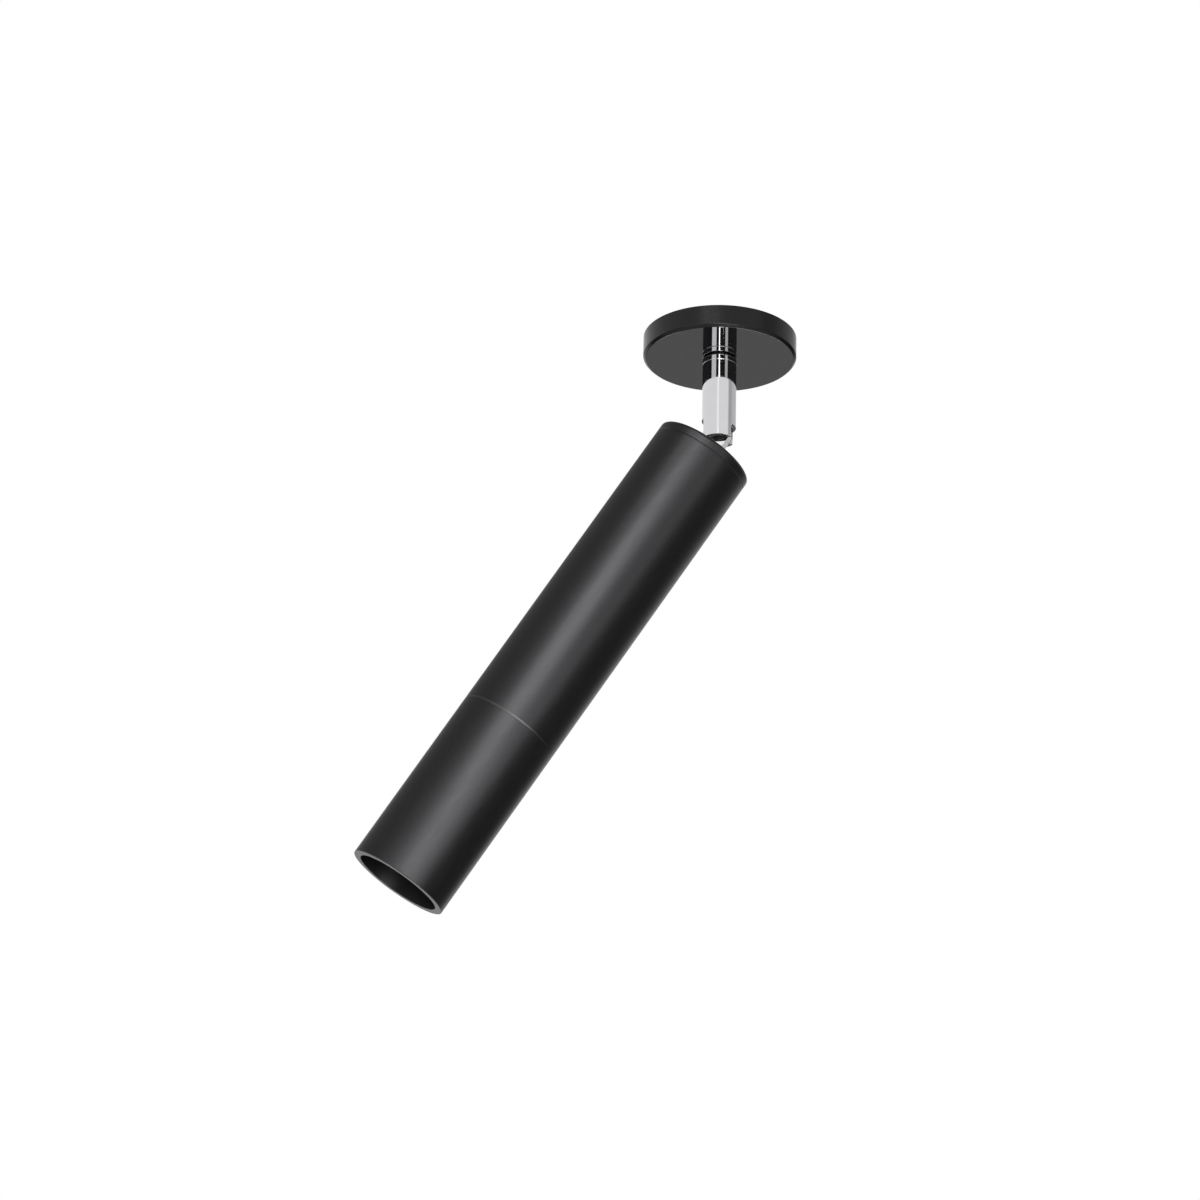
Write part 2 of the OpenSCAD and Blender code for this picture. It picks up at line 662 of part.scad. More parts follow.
// Black hinge block with a round top, a shoulder that stands on the cap, and a hollow threaded stud
module knuckle_tongue() {
    r = tongue_w/2;
    end_x = (passage_l - passage_w)/2;
    color(satin_black) on_head() difference() {
        union() {
            translate([0, tongue_t/2, 0]) rotate([90, 0, 0]) cylinder(r = r, h = tongue_t);
            translate([-r, -tongue_t/2, 0]) cube([tongue_w, tongue_t, shoulder_at + 0.5]);
            bevelled_tube(stem_d, passage_w - 1, shoulder_at, face_at, seam_bevel*1.6, seam_bevel);
            ring(stud_d, passage_w - 1, face_at + stud_end, face_at - 1);
        }
        for (side = [-1, 1]) translate([side*end_x, 0, -r - past])
            cylinder(d = passage_w, h = r + face_at + stud_end + 2*past);
        translate([-end_x, -passage_w/2, -r - past])
            cube([2*end_x, passage_w, r + face_at + stud_end + 2*past]);
        translate([0, tongue_t/2 + past, 0]) rotate([90, 0, 0])
            cylinder(d = pivot_screw_d + 2*run_gap, h = tongue_t + 2*past);
    }
}

// Cap of the tube: a thick top with a rounded edge, and a spigot inside the tube
module end_cap() {
    r = head_d/2;
    color(satin_black) on_face() difference() {
        union() {
            rotate_extrude() {
                difference() {
                    polygon([[0, 0], [r, 0], [r, cap_seam - seam_bevel], [r - seam_bevel, cap_seam],
                        [0, cap_seam]]);
                    difference() {
                        translate([r - cap_round, -past]) square([cap_round + past, cap_round + past]);
                        translate([r - cap_round, cap_round]) circle(r = cap_round);
                    }
                }
            }
            translate([0, 0, cap_seam - 1])
                cylinder(d = coupler_d, h = cap_spigot_h + 1);
        }
        translate([0, 0, cap_seam]) cylinder(d = coupler_d - 2*cap_spigot_wall, h = cap_spigot_h + past);
        translate([0, 0, -past]) cylinder(d = stud_hole_d, h = cap_seam + 2*past);
        translate([earth_x, 0, cap_seam - 4.4]) cylinder(d = earth_screw_d + 2*seat_gap, h = 4.4 + past);
    }
}

// Washer and nut on the stud, inside the cap
module cap_washer() {
    color(zinc) on_face() ring(cap_washer_d, stud_hole_d, cap_seam + cap_washer_t, cap_seam);
}
module cap_nut() {
    color(zinc) on_face() difference() {
        translate([0, 0, cap_seam + cap_washer_t])
            cylinder(d = cap_nut_af/cos(30), h = cap_nut_t, $fn = 6);
        translate([0, 0, cap_seam]) cylinder(d = stud_hole_d, h = cap_nut_t + cap_washer_t + past);
    }
}

// Earth screw of the tube, put into the cap from inside
module head_earth_screw() {
    color(brass) on_face() translate([earth_x, 0, cap_seam + earth_tag_t]) rotate([180, 0, 0])
        pan_screw(earth_screw_d, 4 + earth_tag_t, 5, 1.6, 0.8);
}

// Ring terminal under the earth screw, with a barrel for the earth lead
module earth_tag() {
    color(zinc) on_face() difference() {
        union() {
            translate([earth_x, 0, cap_seam]) cylinder(d = 7, h = earth_tag_t);
            translate([earth_barrel_x - earth_barrel_d/2, -earth_barrel_d/2, cap_seam])
                cube([earth_x - earth_barrel_x, earth_barrel_d, earth_tag_t]);
            translate([earth_barrel_x, 0, cap_seam]) cylinder(d = earth_barrel_d, h = earth_barrel_l);
        }
        translate([earth_x, 0, cap_seam - past]) cylinder(d = earth_screw_d + 2*seat_gap, h = 3);
        translate([earth_barrel_x, 0, cap_seam + earth_tag_t])
            cylinder(d = lead_d + 2*seat_gap, h = earth_barrel_l + past);
    }
}

// Long upper tube
module upper_tube() {
    color(satin_black) on_face()
        bevelled_tube(head_d, tube_inner_d, cap_seam, tube_seam, seam_bevel, seam_bevel);
}

// Ring that joins the tubes, with a flange for the holder plate and a groove for the O-ring
module tube_coupler() {
    color(satin_black) on_face() difference() {
        translate([0, 0, coupler_top]) cylinder(d = coupler_d, h = coupler_up + coupler_down);
        translate([0, 0, coupler_top - past]) cylinder(d = flange_d, h = flange_t + 2*past);
        translate([0, 0, coupler_top + flange_t]) cylinder(d = mouth_d, h = coupler_up + coupler_down);
        difference() {
            translate([0, 0, o_ring_at - o_ring_t/2]) cylinder(d = head_d, h = o_ring_t);
            translate([0, 0, o_ring_at - o_ring_t/2 - past])
                cylinder(d = coupler_d - 2*o_ring_groove, h = o_ring_t + 2*past);
        }
        for (side = [-1, 1]) translate([0, side*plate_screw_r, coupler_top - past])
            cylinder(d = plate_screw_d + 2*seat_gap, h = flange_t + 2*past);
    }
}

// O-ring that grips the lower tube
module coupler_o_ring() {
    color(nylon_black) on_face() translate([0, 0, o_ring_at])
        rotate_extrude() translate([coupler_d/2 - o_ring_groove + o_ring_t/2, 0]) circle(d = o_ring_t, $fn = 32);
}

// Plate on the coupler's flange that carries the lampholder
module holder_plate() {
    color(zinc) on_face() difference() {
        translate([0, 0, plate_top]) cylinder(d = plate_d, h = plate_t);
        for (side = [-1, 1]) {
            translate([side*pin_spacing/2, 0, plate_top - past])
                cylinder(d = pin_hole_d, h = plate_t + 2*past);
            translate([0, side*plate_screw_r, plate_top - past])
                cylinder(d = plate_screw_d + 2*seat_gap, h = plate_t + 2*past);
            translate([0, side*holder_screw_spacing/2, plate_top - past])
                cylinder(d = plate_screw_d + 2*seat_gap, h = plate_t + 2*past);
        }
    }
}

// The two screws of the holder plate
module plate_screws() {
    color(zinc) on_face() for (side = [-1, 1]) translate([0, side*plate_screw_r, plate_top])
        pan_screw(plate_screw_d, plate_t + flange_t - 0.4, small_head_d - 0.4, small_head_h, 0.8);
}

// Ceramic lampholder with two holes for the lamp's pins and two for the leads
module lampholder() {
    color(ceramic_white) on_face() difference() {
        translate([0, 0, holder_top]) cylinder(d = holder_d, h = holder_h);
        for (side = [-1, 1]) {
            translate([side*pin_spacing/2, 0, pin_top - contact_t])
                cylinder(d = pin_hole_d, h = plate_top - pin_top + contact_t + past);
            translate([side*pin_spacing/2, 0, holder_top - past])
                cylinder(d = lead_d + 0.6, h = pin_top - holder_top + past);
            translate([0, side*holder_screw_spacing/2, holder_top - past])
                cylinder(d = plate_screw_d + 2*seat_gap, h = holder_h + 2*past);
            translate([0, side*holder_screw_spacing/2, holder_top - past])
                cylinder(d = small_head_d + 4*seat_gap, h = small_head_h + past);
        }
    }
}

// The two screws that hold the lampholder on its plate
module lampholder_screws() {
    color(zinc) on_face() for (side = [-1, 1])
        translate([0, side*holder_screw_spacing/2, holder_top + small_head_h])
            pan_screw(plate_screw_d, holder_h - small_head_h + plate_t, small_head_d, small_head_h - 0.2, 0.8);
}

// The two brass contacts at the ends of the pin holes
module lampholder_contacts() {
    color(brass) on_face() for (side = [-1, 1]) translate([side*pin_spacing/2, 0, 0])
        ring(pin_hole_d - 2*seat_gap, pin_neck_d, pin_top - clear_gap/2, pin_top - contact_t);
}

// Reflector lamp: a base, a cone and a straight rim, hollow behind its lens
module lamp_body() {
    r = lamp_d/2;
    base_r = lamp_base_d/2;
    cone_top = lamp_top + lamp_base_h;
    rim_top = lamp_face - lamp_rim_h;
    lens_top = lamp_face - lens_t;
    color(lamp_white) on_face() rotate_extrude() polygon([[0, lamp_top], [base_r, lamp_top], [base_r, cone_top],
        [r, rim_top], [r, lamp_face], [r - lamp_wall, lamp_face], [r - lamp_wall, lens_top],
        [r - 2*lamp_wall, lens_top], [r - 2*lamp_wall, rim_top], [base_r - 2*lamp_wall, cone_top + 2*lamp_wall],
        [0, cone_top + 2*lamp_wall]]);
}

// Front lens of the lamp, seated in its rim
module lamp_lens() {
    color(lens_clear) on_face() translate([0, 0, lamp_face - lens_t])
        cylinder(d = lamp_d - 2*lamp_wall - 2*seat_gap, h = lens_t - 0.3);
}

// The lamp's two pins, each a neck with a wider foot
module lamp_pins() {
    foot_h = pin_l*0.36;
    color(zinc) on_face() for (side = [-1, 1]) translate([side*pin_spacing/2, 0, pin_top]) {
        cylinder(d = pin_foot_d, h = foot_h);
        translate([0, 0, foot_h/2]) cylinder(d = pin_neck_d, h = pin_l - foot_h/2);
    }
}

// Leads of the tube
module head_live_lead() {
    color(live_brown) on_head() lead(head_live_route, [1, 0.1, 0]);
}
module head_neutral_lead() {
    color(neutral_blue) on_head() lead(head_neutral_route, [1, 0.1, 0]);
}
module head_earth_lead() {
    color(earth_green) on_head() lead(head_earth_route, [0, 1, 0]);
}

// Front tube with a thick wall, pushed over the coupler
module lower_tube() {
    r = head_d/2;
    color(satin_black) on_face() difference() {
        bevelled_tube(head_d, mouth_d, tube_seam, mouth_end, seam_bevel, seam_bevel);
        translate([0, 0, tube_seam - past])
            cylinder(d = tube_inner_d, h = past + coupler_down + clear_gap);
    }
}

mounting_strap();
strap_nut();
strap_earth_screw();
threaded_nipple();
canopy_cover();
canopy_collar();
friction_washer();
thrust_washer();
circlip();
pan_stop_pin();
terminal_block();
terminal_screws();
block_screw();
canopy_live_lead();
canopy_neutral_lead();
canopy_earth_lead();
swivel_ring();
stem_body();
pivot_screw();
pivot_washers();
stem_live_lead();
stem_neutral_lead();
stem_earth_lead();
knuckle_tongue();
end_cap();
cap_washer();
cap_nut();
head_earth_screw();
earth_tag();
upper_tube();
tube_coupler();
coupler_o_ring();
holder_plate();
plate_screws();
lampholder();
lampholder_screws();
lampholder_contacts();
lamp_body();
lamp_lens();
lamp_pins();
head_live_lead();
head_neutral_lead();
head_earth_lead();
lower_tube();
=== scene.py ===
# Ceiling tube spotlight, dressed piece by piece in the order it is put together:
# ceiling fixing, leads, cup, swivel, stem, hinge, upper tube, lamp and front tube.
import bpy
import json
import math
import numpy as np
from mathutils import Matrix

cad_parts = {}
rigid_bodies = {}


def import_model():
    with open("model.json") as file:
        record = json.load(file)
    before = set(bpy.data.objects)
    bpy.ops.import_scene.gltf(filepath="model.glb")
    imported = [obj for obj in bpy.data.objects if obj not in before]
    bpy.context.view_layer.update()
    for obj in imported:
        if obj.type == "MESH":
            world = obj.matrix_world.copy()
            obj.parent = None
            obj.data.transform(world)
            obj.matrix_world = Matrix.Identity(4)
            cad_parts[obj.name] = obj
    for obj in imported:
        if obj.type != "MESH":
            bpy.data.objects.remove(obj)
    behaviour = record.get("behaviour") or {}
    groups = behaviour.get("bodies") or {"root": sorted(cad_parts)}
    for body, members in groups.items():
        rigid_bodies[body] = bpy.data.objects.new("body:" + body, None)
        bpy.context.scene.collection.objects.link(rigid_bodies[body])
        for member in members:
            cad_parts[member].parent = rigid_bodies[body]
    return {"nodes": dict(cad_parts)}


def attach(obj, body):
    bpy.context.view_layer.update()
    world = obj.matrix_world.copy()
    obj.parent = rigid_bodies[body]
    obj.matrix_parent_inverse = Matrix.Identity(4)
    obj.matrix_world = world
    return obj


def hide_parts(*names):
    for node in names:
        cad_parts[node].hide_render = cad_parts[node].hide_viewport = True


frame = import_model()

nodes = frame["nodes"]
# Nothing but the frame's own objects stays in the empty scene
for leftover in list(bpy.data.objects):
    if leftover.name not in nodes and not leftover.name.startswith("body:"):
        bpy.data.objects.remove(leftover)
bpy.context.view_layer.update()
MM = 0.001


# ---------------------------------------------------------------- Camera
# The photograph is taken from about 2.5 m away and well below the lamp, looking up past its mouth.
# The picture is square, and the lens is a long one, so the tube's sides stay nearly parallel.
def placed(right, up, back, place):
    """The matrix of an object at place, whose own X, Y and Z axes point right, up and back."""
    return Matrix((*zip(right, up, back, place), (0, 0, 0, 1)))


camera_place = (0.17769, -2.25497, -1.10613)
camera_right = (0.99486, 0.09873, 0.02241)
camera_up = (0.01725, -0.38343, 0.92341)
camera_back = (0.09976, -0.91828, -0.38317)
camera_data = bpy.data.cameras.new("photo_camera")
camera_data.sensor_width = 36
camera_data.lens = 127.98
camera_data.clip_end = 60
camera = bpy.data.objects.new("photo_camera", camera_data)
bpy.context.scene.collection.objects.link(camera)
camera.matrix_world = placed(camera_right, camera_up, camera_back, camera_place)
bpy.context.scene.camera = camera
bpy.context.scene.view_settings.view_transform = "Standard"


# ---------------------------------------------------------------- Floor and light
# A pale round floor lies 3 m below the ceiling, in a white room that is dark below the horizon
# except for two bright panels beside the camera. Four softboxes draw the long lines on the stem and
# the soft highlight along the tube, and a small one near by widens that towards the mouth.
def add_node(tree, kind, inputs=(), **settings):
    """One shader node with its settings, its unlinked input values and its incoming links."""
    made = tree.nodes.new(kind)
    for name, value in settings.items():
        setattr(made, name, value)
    for key, value in dict(inputs).items():
        if isinstance(value, bpy.types.Node):
            value = value.outputs[0]
        if isinstance(value, bpy.types.NodeSocket):
            tree.links.new(value, made.inputs[key])
        else:
            made.inputs[key].default_value = value
    return made


def math_node(tree, operation, *values):
    """The output of a Math node on up to three values or sockets."""
    return add_node(tree, "ShaderNodeMath", dict(enumerate(values)), operation=operation).outputs[0]


def ramp_up(tree, value, edge, to_low=0.0, to_high=1.0):
    """The output of a smooth step, from to_low at the edge's first value to to_high at the next."""
    made = add_node(tree, "ShaderNodeMapRange", {"Value": value, "From Min": edge[0],
        "From Max": edge[1], "To Min": to_low, "To Max": to_high}, interpolation_type="SMOOTHSTEP")
    return made.outputs["Result"]


def sector(tree, azimuth, first, last, soft):
    """1 where azimuth lies between first and last, in degrees, and 0 elsewhere. Each of its two
    edges is a smooth step that reaches soft, in radians, to both sides."""
    low, high = math.radians(first), math.radians(last)
    rises = ramp_up(tree, azimuth, (low - soft, low + soft))
    falls = ramp_up(tree, azimuth, (high - soft, high + soft), 1.0, 0.0)
    return math_node(tree, "MULTIPLY", rises, falls)


# Azimuths are 0 towards -Y and positive towards +X. A panel or flag is a sector of the wall
left_panel = (-50, -19, 0.03)
right_panel = (42, 60, 0.06)
narrow_panel = (-9, 2, 0.05)
side_flag = (70, 99, 0.10)
far_flag = (99, 166, 0.05)
left_level = 1.45
right_level = 1.15
narrow_gain = 0.27
side_flag_shade = 0.5
far_flag_shade = 0.35
# Edges between which the room changes, as azimuths in degrees to either side of -Y
side_edge = (66, 84)
far_edge = (156, 168)
backdrop_edge = (160, 168)
left_rear_edge = (-112, -96)
# Edges between which the room changes, as heights: the Z of a unit direction
panel_foot = (-0.64, -0.54)
low_wall_edge = (-0.34, -0.28)
horizon = (-0.16, 0.02)
top_edge = (0.43, 0.56)
# Brightness of the wall and overhead, and below the horizon in front, at the sides and behind
wall_level = 1.0
top_level = 0.28
front_level = 0.02
side_level = 0.03
far_level = 0.152

world = bpy.data.worlds.new("white_room")
bpy.context.scene.world = world
world.use_nodes = True
tree = world.node_tree
tree.nodes.clear()
generated = add_node(tree, "ShaderNodeTexCoord").outputs["Generated"]
towards = add_node(tree, "ShaderNodeSeparateXYZ", {0: generated}).outputs
height = towards["Z"]
forward = math_node(tree, "MULTIPLY", towards["Y"], -1.0)
azimuth = math_node(tree, "ARCTAN2", towards["X"], forward)
turned_away = math_node(tree, "ABSOLUTE", azimuth)

# Below the horizon the room is dark in front and dim behind, apart from the two panels
sides = ramp_up(tree, turned_away, np.radians(side_edge), front_level, side_level)
far = ramp_up(tree, turned_away, np.radians(far_edge), 0.0, far_level - side_level)
panels = math_node(tree, "ADD",
    math_node(tree, "MULTIPLY", sector(tree, azimuth, *left_panel), left_level),
    math_node(tree, "MULTIPLY", sector(tree, azimuth, *right_panel), right_level))
panels = math_node(tree, "MULTIPLY", panels, ramp_up(tree, height, panel_foot))
low_room = math_node(tree, "ADD", math_node(tree, "ADD", sides, far), panels)

# Above it the wall is white, with a brighter strip in front and two flags that shade the right,
# and the room is dim overhead
side_shade = math_node(tree, "MULTIPLY", sector(tree, azimuth, *side_flag), side_flag_shade)
far_shade = math_node(tree, "MULTIPLY", sector(tree, azimuth, *far_flag), far_flag_shade)
shade = math_node(tree, "SUBTRACT", math_node(tree, "SUBTRACT", 1.0, side_shade), far_shade)
white_wall = ramp_up(tree, height, top_edge, wall_level, top_level)
strip = math_node(tree, "MULTIPLY_ADD", sector(tree, azimuth, *narrow_panel), narrow_gain, 1.0)
high_room = math_node(tree, "MULTIPLY", math_node(tree, "MULTIPLY", white_wall, shade), strip)

# The wall starts at the horizon, and lower down behind on the left, where the stem mirrors it
left_rear = ramp_up(tree, azimuth, np.radians(left_rear_edge), 1.0, 0.0)
low_wall = math_node(tree, "MULTIPLY", left_rear, ramp_up(tree, height, low_wall_edge))
wall = math_node(tree, "MAXIMUM", ramp_up(tree, height, horizon), low_wall)
level = add_node(tree, "ShaderNodeMix", {"Factor": wall, "A": low_room, "B": high_room})
room = add_node(tree, "ShaderNodeBackground",
    {"Color": (1, 1, 1, 1), "Strength": level.outputs["Result"]})
white = add_node(tree, "ShaderNodeBackground", {"Color": (1, 1, 1, 1), "Strength": 1.0})

# The eye sees plain white all round, and mirrors and glass see it in the wall behind the lamp
ray = add_node(tree, "ShaderNodeLightPath").outputs
mirrored = math_node(tree, "MAXIMUM", ray["Is Glossy Ray"], ray["Is Transmission Ray"])
backdrop = math_node(tree, "MULTIPLY",
    ramp_up(tree, turned_away, np.radians(backdrop_edge)), wall)
seen = math_node(tree, "MAXIMUM", ray["Is Camera Ray"],
    math_node(tree, "MULTIPLY", mirrored, backdrop))
surface = add_node(tree, "ShaderNodeMixShader", {0: seen, 1: room, 2: white})
add_node(tree, "ShaderNodeOutputWorld", {"Surface": surface})

floor_z = -3.0
floor_r = 4.0
floor_sides = 64
floor_colour = (0.8, 0.8, 0.79)
floor_roughness = 0.9
floor_glow = 0.4
floor_glow_colour = (1, 1, 0.99)
angles = np.linspace(0, 2*np.pi, floor_sides, endpoint=False)
rim = np.stack([floor_r*np.cos(angles), floor_r*np.sin(angles), np.full(floor_sides, floor_z)], 1)
floor_mesh = bpy.data.meshes.new("floor")
floor_mesh.from_pydata(rim.tolist(), [], [list(range(floor_sides))])
floor = bpy.data.objects.new("floor", floor_mesh)
bpy.context.scene.collection.objects.link(floor)
floor_paint = bpy.data.materials.new("floor_paint")
floor_paint.use_nodes = True
tree = floor_paint.node_tree
paint = tree.nodes["Principled BSDF"].inputs
paint["Base Color"].default_value = (*floor_colour, 1)
paint["Roughness"].default_value = floor_roughness
# The floor looks pale to the eye and in mirrors, and still takes the lamp's shadow
ray = add_node(tree, "ShaderNodeLightPath").outputs
mirrored = math_node(tree, "MAXIMUM", ray["Is Glossy Ray"], ray["Is Transmission Ray"])
looked_at = math_node(tree, "MAXIMUM", ray["Is Camera Ray"], mirrored)
paint["Emission Color"].default_value = (*floor_glow_colour, 1)
tree.links.new(math_node(tree, "MULTIPLY", looked_at, floor_glow), paint["Emission Strength"])
floor_mesh.materials.append(floor_paint)

softbox_aim = np.array([-0.03, 0, -0.15])


def direction(azimuth, elevation):
    """Unit vector towards an azimuth, 0 at -Y and positive to +X, and an elevation, in degrees."""
    a, e = math.radians(azimuth), math.radians(elevation)
    return np.array([math.sin(a)*math.cos(e), -math.cos(a)*math.cos(e), math.sin(e)])


def softbox(name, top, bottom, distance, width, radiance):
    """A rectangular lamp that faces the upper tube, at a distance from it in metres. It reaches
    from one direction, an azimuth and an elevation, to another, and radiance sets its power."""
    high = softbox_aim + distance*direction(*top)
    low = softbox_aim + distance*direction(*bottom)
    centre = (high + low)/2
    up = (high - low)/np.linalg.norm(high - low)
    back = centre - softbox_aim
    back -= up*(back @ up)
    back /= np.linalg.norm(back)
    data = bpy.data.lights.new(name, "AREA")
    data.shape = "RECTANGLE"
    data.size = width
    data.size_y = float(np.linalg.norm(high - low))
    data.energy = radiance*math.pi*data.size*data.size_y
    lamp = bpy.data.objects.new(name, data)
    bpy.context.scene.collection.objects.link(lamp)
    lamp.matrix_world = placed(np.cross(up, back), up, back, centre)
    lamp.visible_camera = False


softbox("middle_softbox", (-5, 26), (14, -13.5), 0.82, 0.26, 4.6)
softbox("upper_softbox", (-10, 37), (-15, 47), 1.0, 0.25, 4.6)
softbox("lower_softbox", (18, -24), (33, -50), 1.0, 0.42, 5)
softbox("narrow_strip", (3, -20), (2, -30), 2.6, 0.27, 4.6)
softbox("mouth_softbox", (11, -22), (13, -31), 0.48, 0.2, 4.4)


# ---------------------------------------------------------------- Mounting strap
# The strap is bent from zinc-plated strip steel and carries the whole lamp on two ceiling screws.
# A tab on its right side holds the terminal block, and a small brass screw takes an earth wire.
def principled(name, sockets):
    """A material, its node tree and its one Principled shader, whose sockets are set by name."""
    made = bpy.data.materials.new(name)
    made.use_nodes = True
    shader = made.node_tree.nodes["Principled BSDF"]
    for socket, value in sockets.items():
        shader.inputs[socket].default_value = (*value, 1) if isinstance(value, tuple) else value
    return made, made.node_tree, shader


def grain(tree, size, low, high, stretch=(1, 1, 1), lean=0.0, detail=3.0):
    """A smooth random pattern on Object coordinates, with marks of one size in metres. Its usual
    lows and highs, 0.3 and 0.7, are moved to the values low and high. Its marks are drawn out by
    stretch, along axes that lean from the vertical towards -X."""
    place = add_node(tree, "ShaderNodeTexCoord").outputs["Object"]
    drawn = add_node(tree, "ShaderNodeMapping",
        {"Vector": place, "Rotation": (0, lean, 0), "Scale": stretch}, vector_type="TEXTURE")
    noise = add_node(tree, "ShaderNodeTexNoise",
        {"Vector": drawn, "Scale": 1/size, "Detail": detail}).outputs["Fac"]
    return add_node(tree, "ShaderNodeMapRange", {"Value": noise, "From Min": 0.3, "From Max": 0.7,
        "To Min": low, "To Max": high}).outputs["Result"]


def two_tone(tree, factor, one, other):
    """The output of a blend from one colour to the other."""
    return add_node(tree, "ShaderNodeMix", {0: factor, 6: (*one, 1), 7: (*other, 1)},
        data_type="RGBA").outputs[2]


def vary_colour(tree, shader, size, one, other, **marks):
    """Lets the base colour vary between two colours, in marks of one size in metres."""
    pattern = grain(tree, size, 0.0, 1.0, **marks)
    tree.links.new(two_tone(tree, pattern, one, other), shader.inputs["Base Color"])


def vary_roughness(tree, shader, size, low, high, **marks):
    """Lets the roughness vary between two values, in marks of one size in metres."""
    tree.links.new(grain(tree, size, low, high, **marks), shader.inputs["Roughness"])


def raise_grain(tree, shader, size, rise, **marks):
    """Gives the surface a relief of marks of one size that stand up by rise, both in metres."""
    pattern = grain(tree, size, 0.0, 1.0, **marks)
    bump = add_node(tree, "ShaderNodeBump", {"Height": pattern, "Distance": rise, "Strength": 1.0})
    tree.links.new(bump.outputs["Normal"], shader.inputs["Normal"])


def dress(material, *names):
    """Gives carried-over nodes their material."""
    for name in names:
        for place in nodes[name].material_slots:
            place.material = material


zinc_steel, tree, shader = principled("zinc_plated_steel", {"Metallic": 1.0})
vary_colour(tree, shader, 0.0032, (0.50, 0.51, 0.53), (0.66, 0.66, 0.65), detail=2.0)
vary_roughness(tree, shader, 0.0009, 0.26, 0.44)
raise_grain(tree, shader, 0.0005, 0.000012)

brass, tree, shader = principled("turned_brass", {"Metallic": 1.0})
vary_colour(tree, shader, 0.0012, (0.70, 0.50, 0.21), (0.80, 0.62, 0.30))
vary_roughness(tree, shader, 0.0006, 0.22, 0.36)
raise_grain(tree, shader, 0.0003, 0.000008, stretch=(1, 1, 0.2))

dress(zinc_steel, "mounting_strap")
dress(brass, "strap_earth_screw")


# ---------------------------------------------------------------- Threaded nipple and its nut
# A hollow M10 tube with a rolled thread carries the lamp and lets the wires through.
# A chamfered hexagon nut clamps it on top of the strap's lowered middle.
def shell(grid, closed):
    """Points and faces of a grid of rings. The last ring joins the first if it is closed, and
    otherwise a point in the middle of the first and of the last ring closes each end."""
    rows, columns = grid.shape[:2]
    points = grid.reshape(-1, 3)
    row = np.arange(rows if closed else rows - 1)[:, None]
    column = np.arange(columns)[None, :]
    after = (column + 1) % columns
    beyond = (row + 1) % rows
    corners = (row*columns + column, row*columns + after, beyond*columns + after,
        beyond*columns + column)
    faces = np.stack(np.broadcast_arrays(*corners), -1).reshape(-1, 4).tolist()
    if not closed:
        points = np.vstack([points, grid[0].mean(0), grid[-1].mean(0)])
        middle = np.full(columns, rows*columns)
        last = (rows - 1)*columns
        faces += np.stack([middle, after[0], column[0]], -1).tolist()
        faces += np.stack([middle + 1, last + column[0], last + after[0]], -1).tolist()
    return points, faces


def new_piece(name, points, faces, *materials):
    """A smoothly shaded mesh object at the origin, from points in millimetres."""
    mesh = bpy.data.meshes.new(name)
    mesh.from_pydata((np.asarray(points)*MM).tolist(), [], faces)
    mesh.shade_smooth()
    for material in materials:
        mesh.materials.append(material)
    made = bpy.data.objects.new(name, mesh)
    bpy.context.scene.collection.objects.link(made)
    made.modifiers.new("even_shading", "WEIGHTED_NORMAL")
    return made


def about_axis(radius, turn, height):
    """A grid of points, each at a radius from the vertical axis, a turn about it and a height."""
    return np.stack([radius*np.cos(turn), radius*np.sin(turn), height*np.ones_like(turn)], -1)


nipple_r = 5.0
nipple_bore_r = 3.5
nipple_top = -4.0
nipple_end = -18.0
nipple_chamfer = 0.9
nipple_around = 96
nipple_rows = 141
thread_pitch = 1.0
thread_depth = 0.55
crest_power = 0.7
turn = np.linspace(0, 2*np.pi, nipple_around, endpoint=False)[None, :]
along = np.linspace(nipple_end, nipple_top, nipple_rows)[:, None]
# The thread is a wave with broad crests that climbs one pitch a turn, chamfered at both ends
wave = 0.5 + 0.5*np.cos(2*np.pi*(along/thread_pitch - turn/(2*np.pi)))
crest = nipple_r - thread_depth*(1 - wave**crest_power)
chamfer = nipple_r - nipple_chamfer + np.minimum(along - nipple_end, nipple_top - along)
bore = np.full((2, nipple_around), nipple_bore_r)
radius = np.vstack([np.minimum(crest, chamfer), bore])
thread_grid = about_axis(radius, turn, np.vstack([along, [[nipple_top]], [[nipple_end]]]))
nipple = new_piece("rolled_thread_nipple", *shell(thread_grid, True), zinc_steel)
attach(nipple, "ceiling_base")
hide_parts("threaded_nipple")

nut_flats = 14.0
nut_bottom = -7.0
nut_t = 2.6
nut_bore_r = 5.05
bore_bevel = 0.3
face_share = 0.97
corner_drop = 0.15
corner_slope = 0.58
# The wall's distance follows the hexagon, and the chamfer lowers a corner by how far it stands out
half_flat = nut_flats/2
hexagon = half_flat/np.cos((turn + np.pi/6) % (np.pi/3) - np.pi/6)
drop = corner_drop + (hexagon - half_flat)*corner_slope
sunk_r, face_r = nut_bore_r + bore_bevel, half_flat*face_share
rings = [(sunk_r, 0), (face_r, 0), (hexagon, drop), (hexagon, nut_t - drop), (face_r, nut_t),
    (sunk_r, nut_t), (nut_bore_r, nut_t - bore_bevel), (nut_bore_r, bore_bevel)]
radius, rise = (np.vstack([value*np.ones_like(turn) for value in column]) for column in zip(*rings))
nut_grid = about_axis(radius, turn, nut_bottom + rise)
nut = new_piece("chamfered_strap_nut", *shell(nut_grid, True), zinc_steel)
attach(nut, "ceiling_base")
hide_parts("strap_nut")


